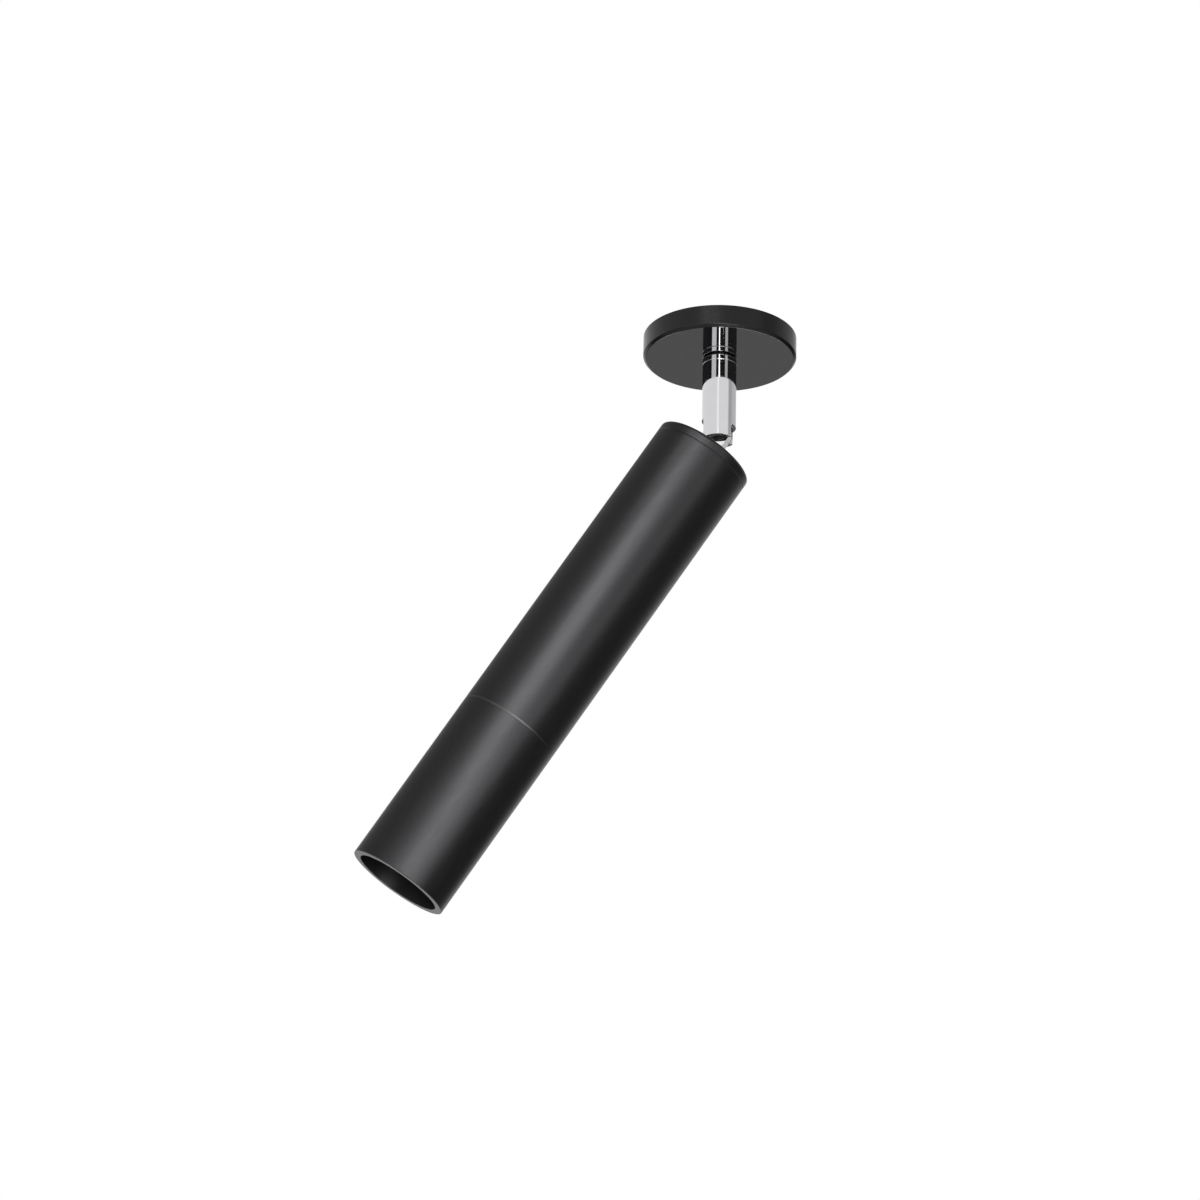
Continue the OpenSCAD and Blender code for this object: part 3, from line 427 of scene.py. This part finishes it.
# ---------------------------------------------------------------- Terminal block
# A three-pole block moulded in white nylon hangs under the strap's tab, with steel clamping screws.
# The supply wires enter at the back, and the lamp's three leads leave at the front.
white_nylon, tree, shader = principled("moulded_white_nylon", {"Base Color": (0.80, 0.79, 0.75),
    "Specular IOR Level": 0.45, "Subsurface Weight": 0.15, "Subsurface Scale": 0.002})
vary_colour(tree, shader, 0.006, (0.78, 0.77, 0.72), (0.83, 0.82, 0.78))
vary_roughness(tree, shader, 0.0008, 0.42, 0.56)
raise_grain(tree, shader, 0.0004, 0.00001)
dress(white_nylon, "terminal_block", "thrust_washer")
dress(zinc_steel, "terminal_screws", "block_screw")


# ---------------------------------------------------------------- Leads of the ceiling part
# Three stranded leads in soft insulation run from the block over the nipple's rim and down its
# bore. Brown is live, blue is neutral and green with a yellow stripe is earth.
lead_r = 0.9
lead_sides = 16
stripe_pitch = 60
stripe_edge = (0.28, 0.36)
brown, light_brown = (0.17, 0.075, 0.035), (0.21, 0.095, 0.045)
blue, light_blue = (0.025, 0.085, 0.36), (0.035, 0.11, 0.43)
green, yellow = (0.05, 0.24, 0.05), (0.75, 0.60, 0.05)


def smooth_route(route, steps=6):
    """A curve through the route's points: on each stretch it is the cubic whose slope at a point is
    half the way between that point's neighbours."""
    p = np.array(route, float)
    before, after = np.vstack([p[:1], p[:-2]]), np.vstack([p[2:], p[-1:]])
    start, end = p[:-1], p[1:]
    t = np.linspace(0, 1, steps, endpoint=False)[:, None, None]
    curve = 0.5*(2*start + (end - before)*t + (2*before - 5*start + 4*end - after)*t**2
        + (3*start - before - 3*end + after)*t**3)
    return np.vstack([curve.transpose(1, 0, 2).reshape(-1, 3), p[-1:]])


def moved(points, place):
    """Points turned and shifted by a 4 x 4 matrix."""
    return points @ place[:3, :3].T + place[:3, 3]


def lead_piece(name, route, sideways, material, place=np.eye(4)):
    """A lead: a ring of points carried along the route, square to it, and closed at both ends. The
    attribute side is the cosine of the turn round the lead, which winds once in a stripe_pitch."""
    curve = smooth_route(route)
    ahead = np.gradient(curve, axis=0)
    ahead /= np.linalg.norm(ahead, axis=1, keepdims=True)
    across = np.cross(ahead, sideways)
    across /= np.linalg.norm(across, axis=1, keepdims=True)
    up = np.cross(ahead, across)
    turn = np.linspace(0, 2*np.pi, lead_sides, endpoint=False)[None, :, None]
    rings = curve[:, None] + lead_r*(across[:, None]*np.cos(turn) + up[:, None]*np.sin(turn))
    points, faces = shell(rings, False)
    made = new_piece(name, moved(points, place), faces, material)
    stretches = np.linalg.norm(np.diff(curve, axis=0), axis=1)
    travelled = np.concatenate([[0], np.cumsum(stretches)])[:, None]
    side = np.cos(turn[:, :, 0] + 2*np.pi*travelled/stripe_pitch).ravel()
    attribute = made.data.attributes.new("side", "FLOAT", "POINT")
    attribute.data.foreach_set("value", np.append(side, [0.0, 0.0]))
    return made


def insulation(name, colour):
    """Soft insulation with a slight print of the strands below it."""
    made, tree, shader = principled(name, {"Base Color": colour, "Specular IOR Level": 0.4})
    vary_roughness(tree, shader, 0.001, 0.36, 0.5)
    raise_grain(tree, shader, 0.0006, 0.00002)
    return made, tree, shader


lead_brown, tree, shader = insulation("brown_insulation", brown)
vary_colour(tree, shader, 0.004, brown, light_brown)
lead_blue, tree, shader = insulation("blue_insulation", blue)
vary_colour(tree, shader, 0.004, blue, light_blue)
lead_green, tree, shader = insulation("green_yellow_insulation", green)
side = add_node(tree, "ShaderNodeAttribute", attribute_name="side").outputs["Fac"]
striped = two_tone(tree, ramp_up(tree, side, stripe_edge), green, yellow)
tree.links.new(striped, shader.inputs["Base Color"])

# The rings of a lead are turned by a direction that its route never takes
off_route = (1, 0.2, 0.1)
live_route = [(12, 18, -5.03), (12, 15, -5.03), (10, 11, -4.6), (6, 7, -3.2), (1.5, 3.6, -2.4),
    (-0.4, 1.9, -3.4), (-0.75, 1.3, -6), (-0.75, 1.3, -9), (-0.75, 1.3, -27)]
canopy_live = lead_piece("live_lead_in_cup", live_route, off_route, lead_brown)
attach(canopy_live, "ceiling_base")
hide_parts("canopy_live_lead")

neutral_route = [(28, 18, -5.03), (28, 15, -5.03), (25, 12.6, -6.6), (18, 12, -8.3),
    (9, 12.4, -8.2), (1, 11.2, -6.4), (-4, 7.6, -3.3), (-3.8, 3, -2.3), (-2.2, -0.2, -3),
    (-0.75, -1.4, -5.6), (-0.75, -1.3, -9), (-0.75, -1.3, -27)]
canopy_neutral = lead_piece("neutral_lead_in_cup", neutral_route, off_route, lead_blue)
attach(canopy_neutral, "ceiling_base")
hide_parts("canopy_neutral_lead")

earth_route = [(20, 18, -5.03), (20, 15, -5.03), (16, 12, -4.2), (10, 6.5, -2.7),
    (5.4, 2, -2.3), (2.5, 0.3, -3), (1.5, 0, -5.6), (1.5, 0, -9), (1.5, 0, -27)]
canopy_earth = lead_piece("earth_lead_in_cup", earth_route, off_route, lead_green)
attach(canopy_earth, "ceiling_base")
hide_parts("canopy_earth_lead")


# ---------------------------------------------------------------- Ceiling cup
# The cup is spun from steel sheet. Its side has a black gloss lacquer, and its underside is plated
# in a dark mirror finish, so it shows the stem upside down. It is clamped between the strap and the
# collar.
def rounded(corners, steps=6):
    """A closed outline with round corners. Each corner (radius, height, fillet) becomes an arc that
    touches both of its sides: its centre is on their bisector, fillet/sin(half its angle) away."""
    c = np.array(corners, float)
    p, fillet = c[:, :2], c[:, 2:]
    to_last, to_next = np.roll(p, 1, 0) - p, np.roll(p, -1, 0) - p
    to_last /= np.linalg.norm(to_last, axis=1, keepdims=True)
    to_next /= np.linalg.norm(to_next, axis=1, keepdims=True)
    half = np.arccos(np.clip((to_last*to_next).sum(1, keepdims=True), -1, 1))/2
    bisector = (to_last + to_next)/np.linalg.norm(to_last + to_next, axis=1, keepdims=True)
    centre = p + bisector*fillet/np.sin(half)
    first = (p + to_last*fillet/np.tan(half) - centre)[:, None]
    final = (p + to_next*fillet/np.tan(half) - centre)[:, None]
    sweep = (np.pi - 2*half)[:, :, None]
    s = np.linspace(0, 1, steps)[None, :, None]
    arcs = centre[:, None] + (np.sin((1 - s)*sweep)*first + np.sin(s*sweep)*final)/np.sin(sweep)
    outline = arcs.reshape(-1, 2)
    return outline[np.linalg.norm(outline - np.roll(outline, 1, 0), axis=1) > 1e-6]


def turned(outline, place=np.eye(4), around=192, solid=False):
    """Rings of a turned piece: the (radius, height) outline is carried round the axis in equal
    steps, and then moved by place. A solid one starts and ends on the axis, where shell closes
    it."""
    outline = outline[outline[:, 0] > 1e-6] if solid else outline
    turn = np.linspace(0, 2*np.pi, around, endpoint=False)[None, :]
    return moved(about_axis(outline[:, 0, None], turn, outline[:, 1, None]), place)


def second_finish(piece, marked):
    """Gives the marked faces of a piece its second material."""
    piece.data.polygons.foreach_set("material_index", marked.astype(np.int32))


cup_r = 45.0
cup_h = 13.5
cup_wall = 1.5
cup_bevel = 1.5
cup_hole_r = 5.05
cup_fillet = 0.7
cup_rim_fillet = 0.15
cup_around = 256
inner_r, inner_z = cup_r - cup_wall, -cup_h + cup_wall
cup_outline = rounded([(cup_hole_r, -cup_h, 0.1), (cup_r - cup_bevel, -cup_h, cup_fillet),
    (cup_r, -cup_h + cup_bevel, cup_fillet), (cup_r, 0, cup_rim_fillet),
    (inner_r, 0, cup_rim_fillet), (inner_r, inner_z, 1.0), (cup_hole_r, inner_z, 0.1)])
gloss_black, tree, shader = principled("black_gloss_lacquer",
    {"Base Color": (0.006, 0.006, 0.0065), "Specular IOR Level": 0.25})
vary_roughness(tree, shader, 0.0045, 0.2, 0.27)
raise_grain(tree, shader, 0.0016, 0.0000012, detail=1.0)
mirror_black, tree, shader = principled("dark_mirror_plate", {"Metallic": 1.0})
vary_colour(tree, shader, 0.012, (0.44, 0.44, 0.45), (0.46, 0.46, 0.47), detail=4.0)
vary_roughness(tree, shader, 0.003, 0.028, 0.045)
cup = new_piece("spun_ceiling_cup", *shell(turned(cup_outline, around=cup_around), True),
    gloss_black, mirror_black)
# The plating is on the faces of the underside that lie flat in its lowest plane
flat_down = -0.97
plane_margin = 0.05
facing = np.empty(3*len(cup.data.polygons))
cup.data.polygons.foreach_get("normal", facing)
middle = np.empty(3*len(cup.data.polygons))
cup.data.polygons.foreach_get("center", middle)
second_finish(cup, (facing[2::3] < flat_down) & (middle[2::3] < (plane_margin - cup_h)*MM))
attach(cup, "ceiling_base")
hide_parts("canopy_cover")


# ---------------------------------------------------------------- Collar, washers and clip
# A blackened steel collar clamps the cup, and its spigot goes down into the stem. The stem turns on
# it between a black nylon washer and a white one above a steel clip; a pin stops the turn.
black_steel, tree, shader = principled("blackened_steel",
    {"Base Color": (0.006, 0.006, 0.006), "Specular IOR Level": 0.3})
vary_roughness(tree, shader, 0.001, 0.45, 0.6)
raise_grain(tree, shader, 0.0004, 0.000006)
black_nylon, tree, shader = principled("black_nylon",
    {"Base Color": (0.005, 0.005, 0.005), "Specular IOR Level": 0.25})
vary_roughness(tree, shader, 0.0006, 0.5, 0.66)
raise_grain(tree, shader, 0.0003, 0.000006)
dress(black_steel, "canopy_collar")
dress(black_nylon, "friction_washer", "pivot_washers")
dress(zinc_steel, "circlip", "pan_stop_pin")


# ---------------------------------------------------------------- Swivel ring
# A turned and chrome-plated brass ring runs on the collar's spigot and is screwed into the stem.
# Its rounded lower edge and the stem's make the thin bright line below the dark groove.
ring_r = 10.0
ring_bore_r = 7.05
ring_neck_r = 8.65
ring_top = -14.5
ring_shoulder = -17.7
ring_end = -21.5
ring_outline = rounded([(ring_bore_r, ring_end, 0.2), (ring_neck_r, ring_end, 0.2),
    (ring_neck_r, ring_shoulder, 0.1), (ring_r, ring_shoulder, 0.35), (ring_r, ring_top, 0.3),
    (ring_bore_r, ring_top, 0.2)])
chrome, tree, shader = principled("polished_chrome", {"Metallic": 1.0})
vary_colour(tree, shader, 0.01, (0.62, 0.62, 0.635), (0.64, 0.64, 0.65))
vary_roughness(tree, shader, 0.002, 0.038, 0.062)
ring = new_piece("turned_swivel_ring", *shell(turned(ring_outline), True), chrome)
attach(ring, "stem")
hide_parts("swivel_ring")


# ---------------------------------------------------------------- Stem and hinge screw
# The stem is turned from brass bar, bored for the leads, forked at its lower end and chrome-plated.
# The hinge screw goes in from the rear cheek and clamps the tongue between two friction washers.
dress(chrome, "stem_body")
dress(zinc_steel, "pivot_screw")

live_route = [(-0.75, 1.3, -27.3), (-0.75, 1.3, -31.3), (-1.2, 1.2, -39.3), (-1.5, 1.05, -48),
    (-1.5, 1.05, -54)]
live_in_stem = lead_piece("live_lead_in_stem", live_route, (1, 0, 0), lead_brown)
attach(live_in_stem, "stem")
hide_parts("stem_live_lead")

neutral_route = np.array(live_route)*(1, -1, 1)
neutral_in_stem = lead_piece("neutral_lead_in_stem", neutral_route, (1, 0, 0), lead_blue)
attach(neutral_in_stem, "stem")
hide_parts("stem_neutral_lead")

earth_route = [(1.5, 0, -27.3), (1.5, 0, -31.3), (1.6, 0, -39.3), (1.5, 0, -48), (1.5, 0, -54)]
earth_in_stem = lead_piece("earth_lead_in_stem", earth_route, (0, 1, 0), lead_green)
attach(earth_in_stem, "stem")
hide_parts("stem_earth_lead")


# ---------------------------------------------------------------- Hinge tongue
# A steel tongue swings in the fork, and its hinge end is chrome-plated. Its black round shoulder
# stands on the tube's cap, and its hollow stud goes down through the cap.
tilt = math.radians(33)
hinge_z = -61.5
plated_to = 7.0
plating_edge = 0.0001
plating_smoother = 0.3
deep_black = (0.0035, 0.0035, 0.004)
black_gloss = 0.56
# The plating ends square to the tube's axis, a little below the hinge
tongue_finish, tree, shader = principled("tongue_plated_at_the_hinge",
    {"Specular IOR Level": black_gloss})
place = add_node(tree, "ShaderNodeTexCoord").outputs["Object"]
down_tube = (-math.sin(tilt), 0, -math.cos(tilt))
along = add_node(tree, "ShaderNodeVectorMath", {0: place, 1: down_tube}, operation="DOT_PRODUCT")
end = (plated_to + hinge_z*down_tube[2])*MM
plated = ramp_up(tree, along.outputs["Value"], (end - plating_edge, end + plating_edge), 1.0, 0.0)
tree.links.new(plated, shader.inputs["Metallic"])
coloured = two_tone(tree, plated, deep_black, (0.63, 0.63, 0.64))
tree.links.new(coloured, shader.inputs["Base Color"])
black_roughness = grain(tree, 0.0011, 0.33, 0.38)
roughness = math_node(tree, "MULTIPLY_ADD", plated, -plating_smoother, black_roughness)
tree.links.new(roughness, shader.inputs["Roughness"])
dress(tongue_finish, "knuckle_tongue")


# ---------------------------------------------------------------- Tube cap
# The cap is turned from aluminium and anodised satin black. A washer and a nut inside it hold the
# tongue's stud, and a brass screw fixes the ring terminal of the earth lead.
satin_black, tree, shader = principled("satin_black_anodising", {"Base Color": deep_black,
    "Specular IOR Level": black_gloss, "Specular Tint": (0.97, 0.97, 1.0)})
vary_roughness(tree, shader, 0.0011, 0.33, 0.38, stretch=(1, 1, 12), lean=tilt)
raise_grain(tree, shader, 0.00025, 0.0000015, stretch=(1, 1, 3), lean=tilt)
dress(satin_black, "end_cap")
dress(zinc_steel, "cap_washer", "cap_nut", "earth_tag")
dress(brass, "head_earth_screw")


# ---------------------------------------------------------------- Upper tube
# The long tube is drawn aluminium, anodised satin black, and is pushed over the cap's spigot.
# Its lower end has a turned bevel, which catches the light and shows as a thin line at the seam.
face_at = 14.2
tube_r = 30.0
tube_inner_r = 28.5
cap_seam = 6.0
tube_seam = 202.5
seam_round = 0.3
bevel_long = 1.1
bevel_deep = 0.08
bevel_margin = 0.02
tube_around = 256
# Heights on the tube run down its axis, from the hinge in on_hinge and from the cap in on_face
on_hinge = np.array([[-math.cos(tilt), 0, -math.sin(tilt), 0], [0, 1, 0, 0],
    [math.sin(tilt), 0, -math.cos(tilt), hinge_z], [0, 0, 0, 1]])
on_face = on_hinge @ np.array([[1, 0, 0, 0], [0, 1, 0, 0], [0, 0, 1, face_at], [0, 0, 0, 1]])
bevel_top, bevel_r = tube_seam - bevel_long, tube_r - bevel_deep
upper_outline = rounded([(tube_inner_r, cap_seam, 0.1), (tube_r, cap_seam, seam_round),
    (tube_r, bevel_top, 0.4), (bevel_r, tube_seam, 0.05), (tube_inner_r, tube_seam, 0.1)])
# Turned faces, the bevel here and the bore at the mouth, are a deeper black with fine tool rings
turned_black, tree, shader = principled("turned_black_bore",
    {"Base Color": (0.001, 0.001, 0.0012), "Specular IOR Level": 1.0})
vary_roughness(tree, shader, 0.0012, 0.32, 0.38)
raise_grain(tree, shader, 0.0003, 0.000003, stretch=(8, 8, 0.6), lean=tilt)
upper = new_piece("drawn_upper_tube", *shell(turned(upper_outline, on_face, tube_around), True),
    satin_black, turned_black)
# A face is on the bevel if both of its rings are
on_bevel = ((upper_outline[:, 1] > bevel_top - bevel_margin)
    & (upper_outline[:, 0] > bevel_r - bevel_margin))
second_finish(upper, np.repeat(on_bevel & np.roll(on_bevel, -1), tube_around))
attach(upper, "head")
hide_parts("upper_tube")


# ---------------------------------------------------------------- Coupler and its O-ring
# A turned aluminium ring in the tube's black finish joins the two tubes.
# A rubber ring in its groove holds the front tube on by friction.
black_rubber, tree, shader = principled("black_rubber",
    {"Base Color": (0.008, 0.008, 0.008), "Specular IOR Level": 0.3})
vary_roughness(tree, shader, 0.0007, 0.55, 0.72)
raise_grain(tree, shader, 0.0003, 0.00001)
dress(satin_black, "tube_coupler")
dress(black_rubber, "coupler_o_ring")


# ---------------------------------------------------------------- Lampholder
# A glazed ceramic holder with two brass contacts takes the lamp's pins with a twist.
# Two screws fix it to a steel plate, and two more fix the plate to the coupler's flange.
ceramic, tree, shader = principled("glazed_ceramic",
    {"Base Color": (0.80, 0.77, 0.70), "Coat Weight": 0.35, "Coat Roughness": 0.08})
vary_colour(tree, shader, 0.0011, (0.76, 0.73, 0.66), (0.84, 0.82, 0.76))
vary_roughness(tree, shader, 0.002, 0.3, 0.45)
raise_grain(tree, shader, 0.0009, 0.00002)
dress(ceramic, "lampholder")
dress(zinc_steel, "holder_plate", "plate_screws", "lampholder_screws", "lamp_pins")
dress(brass, "lampholder_contacts")


# ---------------------------------------------------------------- Reflector lamp
# A 50 mm reflector lamp is twisted into the holder: a white fluted shell, silvered inside, behind a
# lens of pressed glass with small dimples, with a frosted quartz capsule in its middle.
lamp_r = 25.0
lamp_top = 190.8
lamp_face = 237.8
lamp_base_r = 14.0
lamp_base_long = 11.0
lamp_rim_long = 6.0
lamp_wall = 1.4
lamp_around = 240
lens_t = 2.2
cone_top = lamp_top + lamp_base_long
rim_top = lamp_face - lamp_rim_long
lens_back = lamp_face - lens_t
seat_r = lamp_r - lamp_wall
inside_r = lamp_r - 2*lamp_wall
floor_at = cone_top + 2*lamp_wall
lamp_white, tree, shader = principled("white_enamel",
    {"Base Color": (0.82, 0.82, 0.81), "Coat Weight": 0.2, "Coat Roughness": 0.15})
vary_colour(tree, shader, 0.003, (0.79, 0.79, 0.77), (0.84, 0.84, 0.83))
vary_roughness(tree, shader, 0.001, 0.32, 0.44)
silvering, tree, shader = principled("silvered_reflector", {"Metallic": 1.0})
vary_colour(tree, shader, 0.002, (0.78, 0.79, 0.80), (0.86, 0.86, 0.87))
vary_roughness(tree, shader, 0.0008, 0.1, 0.2)
lamp_outline = rounded([(0, lamp_top, 0), (lamp_base_r, lamp_top, 0.8),
    (lamp_base_r, cone_top, 1.0), (lamp_r, rim_top, 1.5), (lamp_r, lamp_face, 0.5),
    (seat_r, lamp_face, 0.3), (seat_r, lens_back, 0.1), (inside_r, lens_back, 0.2),
    (inside_r, rim_top, 1.5), (lamp_base_r - 2*lamp_wall, floor_at, 1.0), (0, floor_at, 0)])
# The straight cone, after the outline's first 13 points, gets more rows to carry its flutes
cone_row = 13
flute_rows = 12
rows = np.linspace(lamp_outline[cone_row - 1], lamp_outline[cone_row], flute_rows + 2)[1:-1]
lamp_grid = turned(np.insert(lamp_outline, cone_row, rows, 0), around=lamp_around, solid=True)
# Shallow flutes run down the outside of the cone and fade out at both of its ends. Their depth is a
# share of the cone's radius
flutes = 30
flute_depth = 0.03
flute_fade = 3
row_margin = 0.01
turn = np.linspace(0, 2*np.pi, lamp_around, endpoint=False)
height = lamp_grid[:, :, 2]
inner_rows = np.maximum.accumulate(height > lamp_face - row_margin, axis=0)
below_base = np.clip((height - cone_top)/flute_fade, 0, 1)
above_rim = np.clip((rim_top - height)/flute_fade, 0, 1)
pressed = flute_depth*below_base*above_rim*~inner_rows*(0.5 - 0.5*np.cos(flutes*turn))
lamp_grid[:, :, :2] *= (1 - pressed)[:, :, None]
lamp = new_piece("reflector_lamp_shell", *shell(moved(lamp_grid, on_face), False),
    lamp_white, silvering)
# The silvering covers the inside up to the lens, and the fan of faces in its middle
silvered = inner_rows[:-1, 0] & (height[:-1, 0] < lens_back + row_margin)
base_fan, inner_fan = np.zeros(lamp_around, bool), np.ones(lamp_around, bool)
second_finish(lamp, np.concatenate([np.repeat(silvered, lamp_around), base_fan, inner_fan]))
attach(lamp, "head")
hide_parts("lamp_body")

capsule_r = 4.6
capsule_seat = 2.9
capsule_reach = 29
capsule_shoulder = 3.2
capsule_tip = 1.2
capsule_around = 64
capsule_top, capsule_end = cone_top + capsule_seat, lamp_top + capsule_reach
frosted_quartz, tree, shader = principled("frosted_quartz",
    {"Base Color": (0.9, 0.9, 0.88), "Transmission Weight": 0.35, "IOR": 1.46})
vary_roughness(tree, shader, 0.0012, 0.34, 0.5)
raise_grain(tree, shader, 0.0004, 0.00001)
capsule_outline = rounded([(0, capsule_top, 0), (capsule_r, capsule_top, 0.3),
    (capsule_r, capsule_end, capsule_shoulder), (0, capsule_end + capsule_tip, 0)], steps=10)
capsule_grid = turned(capsule_outline, on_face, capsule_around, solid=True)
capsule = new_piece("quartz_capsule", *shell(capsule_grid, False), frosted_quartz)
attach(capsule, "head")

lens_r = 23.55
lens_inset = 0.3
lens_centre_r = 0.25
lens_edge = 0.05
lens_border = 0.9
lens_around = 256
back_rows = 8
front_rows = 90
dimple = 2.6
dimple_depth = 0.16
lens_front = lamp_face - lens_inset
r_rows = np.concatenate([np.linspace(lens_centre_r, lens_r, back_rows), [lens_r],
    np.linspace(lens_r - lens_edge, lens_centre_r, front_rows)])[:, None]
z_rows = np.repeat([lens_back, lens_front], [back_rows, 1 + front_rows])[:, None]
turn = np.linspace(0, 2*np.pi, lens_around, endpoint=False)[None, :]
x, y = r_rows*np.cos(turn), r_rows*np.sin(turn)
# Three waves at 60 degrees to one another, whose sum runs from 3 down to -1.5, make a honeycomb of
# dimples that are pressed in below the front face
highest, lowest = 3, -1.5
cos_30 = math.cos(math.pi/6)
wave = 2*np.pi/(dimple*cos_30)
honeycomb = np.cos(wave*x) + np.cos(wave*(x/2 + y*cos_30)) + np.cos(wave*(x/2 - y*cos_30))
dimpled = (z_rows == lens_front) & (r_rows < lens_r - lens_border)
pressed = np.where(dimpled, dimple_depth*(highest - honeycomb)/(highest - lowest), 0)
lens_grid = moved(np.stack([x, y, z_rows - pressed], -1), on_face)
lens_glass, tree, shader = principled("pressed_glass",
    {"Base Color": (0.93, 0.96, 0.97), "Transmission Weight": 1.0, "IOR": 1.5})
vary_roughness(tree, shader, 0.003, 0.02, 0.06)
lens = new_piece("dimpled_lens", *shell(lens_grid, False), lens_glass)
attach(lens, "head")
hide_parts("lamp_lens")


# ---------------------------------------------------------------- Leads in the tube
# The leads pass the hinge screw inside the tongue. Two go on to the lampholder, and the earth lead
# bends back to a ring terminal on the cap.
live_route = [(-3.1, 1.05, -5.9), (-3.1, 1.05, 20), (-3.1, 1.05, 29.7), (-1.8, 2.4, 54.52),
    (2.6, 2, 103.6), (5, 0.4, 167.5), (5, 0, 185.5), (5, 0, 196.9)]
live_in_tube = lead_piece("live_lead_in_tube", live_route, (1, 0.1, 0), lead_brown, on_hinge)
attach(live_in_tube, "head")
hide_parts("head_live_lead")

neutral_route = [(-3.1, -1.05, -5.9), (-3.1, -1.05, 20), (-3.1, -1.05, 29.7), (-3.6, -1.9, 54.52),
    (-4.4, -1.2, 103.6), (-5, -0.2, 167.5), (-5, 0, 185.5), (-5, 0, 196.9)]
neutral_in_tube = lead_piece("neutral_lead_in_tube", neutral_route, (1, 0.1, 0), lead_blue,
    on_hinge)
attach(neutral_in_tube, "head")
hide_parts("head_neutral_lead")

earth_route = [(3.1, 0, -5.9), (3.1, 0, 20), (3.1, 0, 27.7), (4.2, 0, 32.7), (8, 0, 35.7),
    (12, 0, 32.7), (13, 0, 27.7), (13, 0, 22)]
earth_in_tube = lead_piece("earth_lead_in_tube", earth_route, (0, 1, 0), lead_green, on_hinge)
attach(earth_in_tube, "head")
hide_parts("head_earth_lead")


# ---------------------------------------------------------------- Front tube
# The front tube has a thick wall, turned down inside where it slides over the coupler.
# Its mouth is faced flat, with both edges broken, and it has the same satin black anodising.
mouth_end = 312.5
mouth_r = 25.5
mouth_fillet = 0.35
socket_end = 214.8
seam_gap = 0.02
front_top = tube_seam + seam_gap
lower_outline = rounded([(tube_inner_r, front_top, 0.1), (tube_r, front_top, 0.12),
    (tube_r, mouth_end, mouth_fillet), (mouth_r, mouth_end, mouth_fillet),
    (mouth_r, socket_end, 0.1), (tube_inner_r, socket_end, 0.2)])
lower = new_piece("thick_front_tube", *shell(turned(lower_outline, on_face, tube_around), True),
    satin_black, turned_black)
# The bore keeps the fine rings of the turning tool under its anodising
in_bore = lower_outline[:, 0] < mouth_r + row_margin
second_finish(lower, np.repeat(in_bore & np.roll(in_bore, -1), tube_around))
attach(lower, "front_tube")
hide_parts("lower_tube")
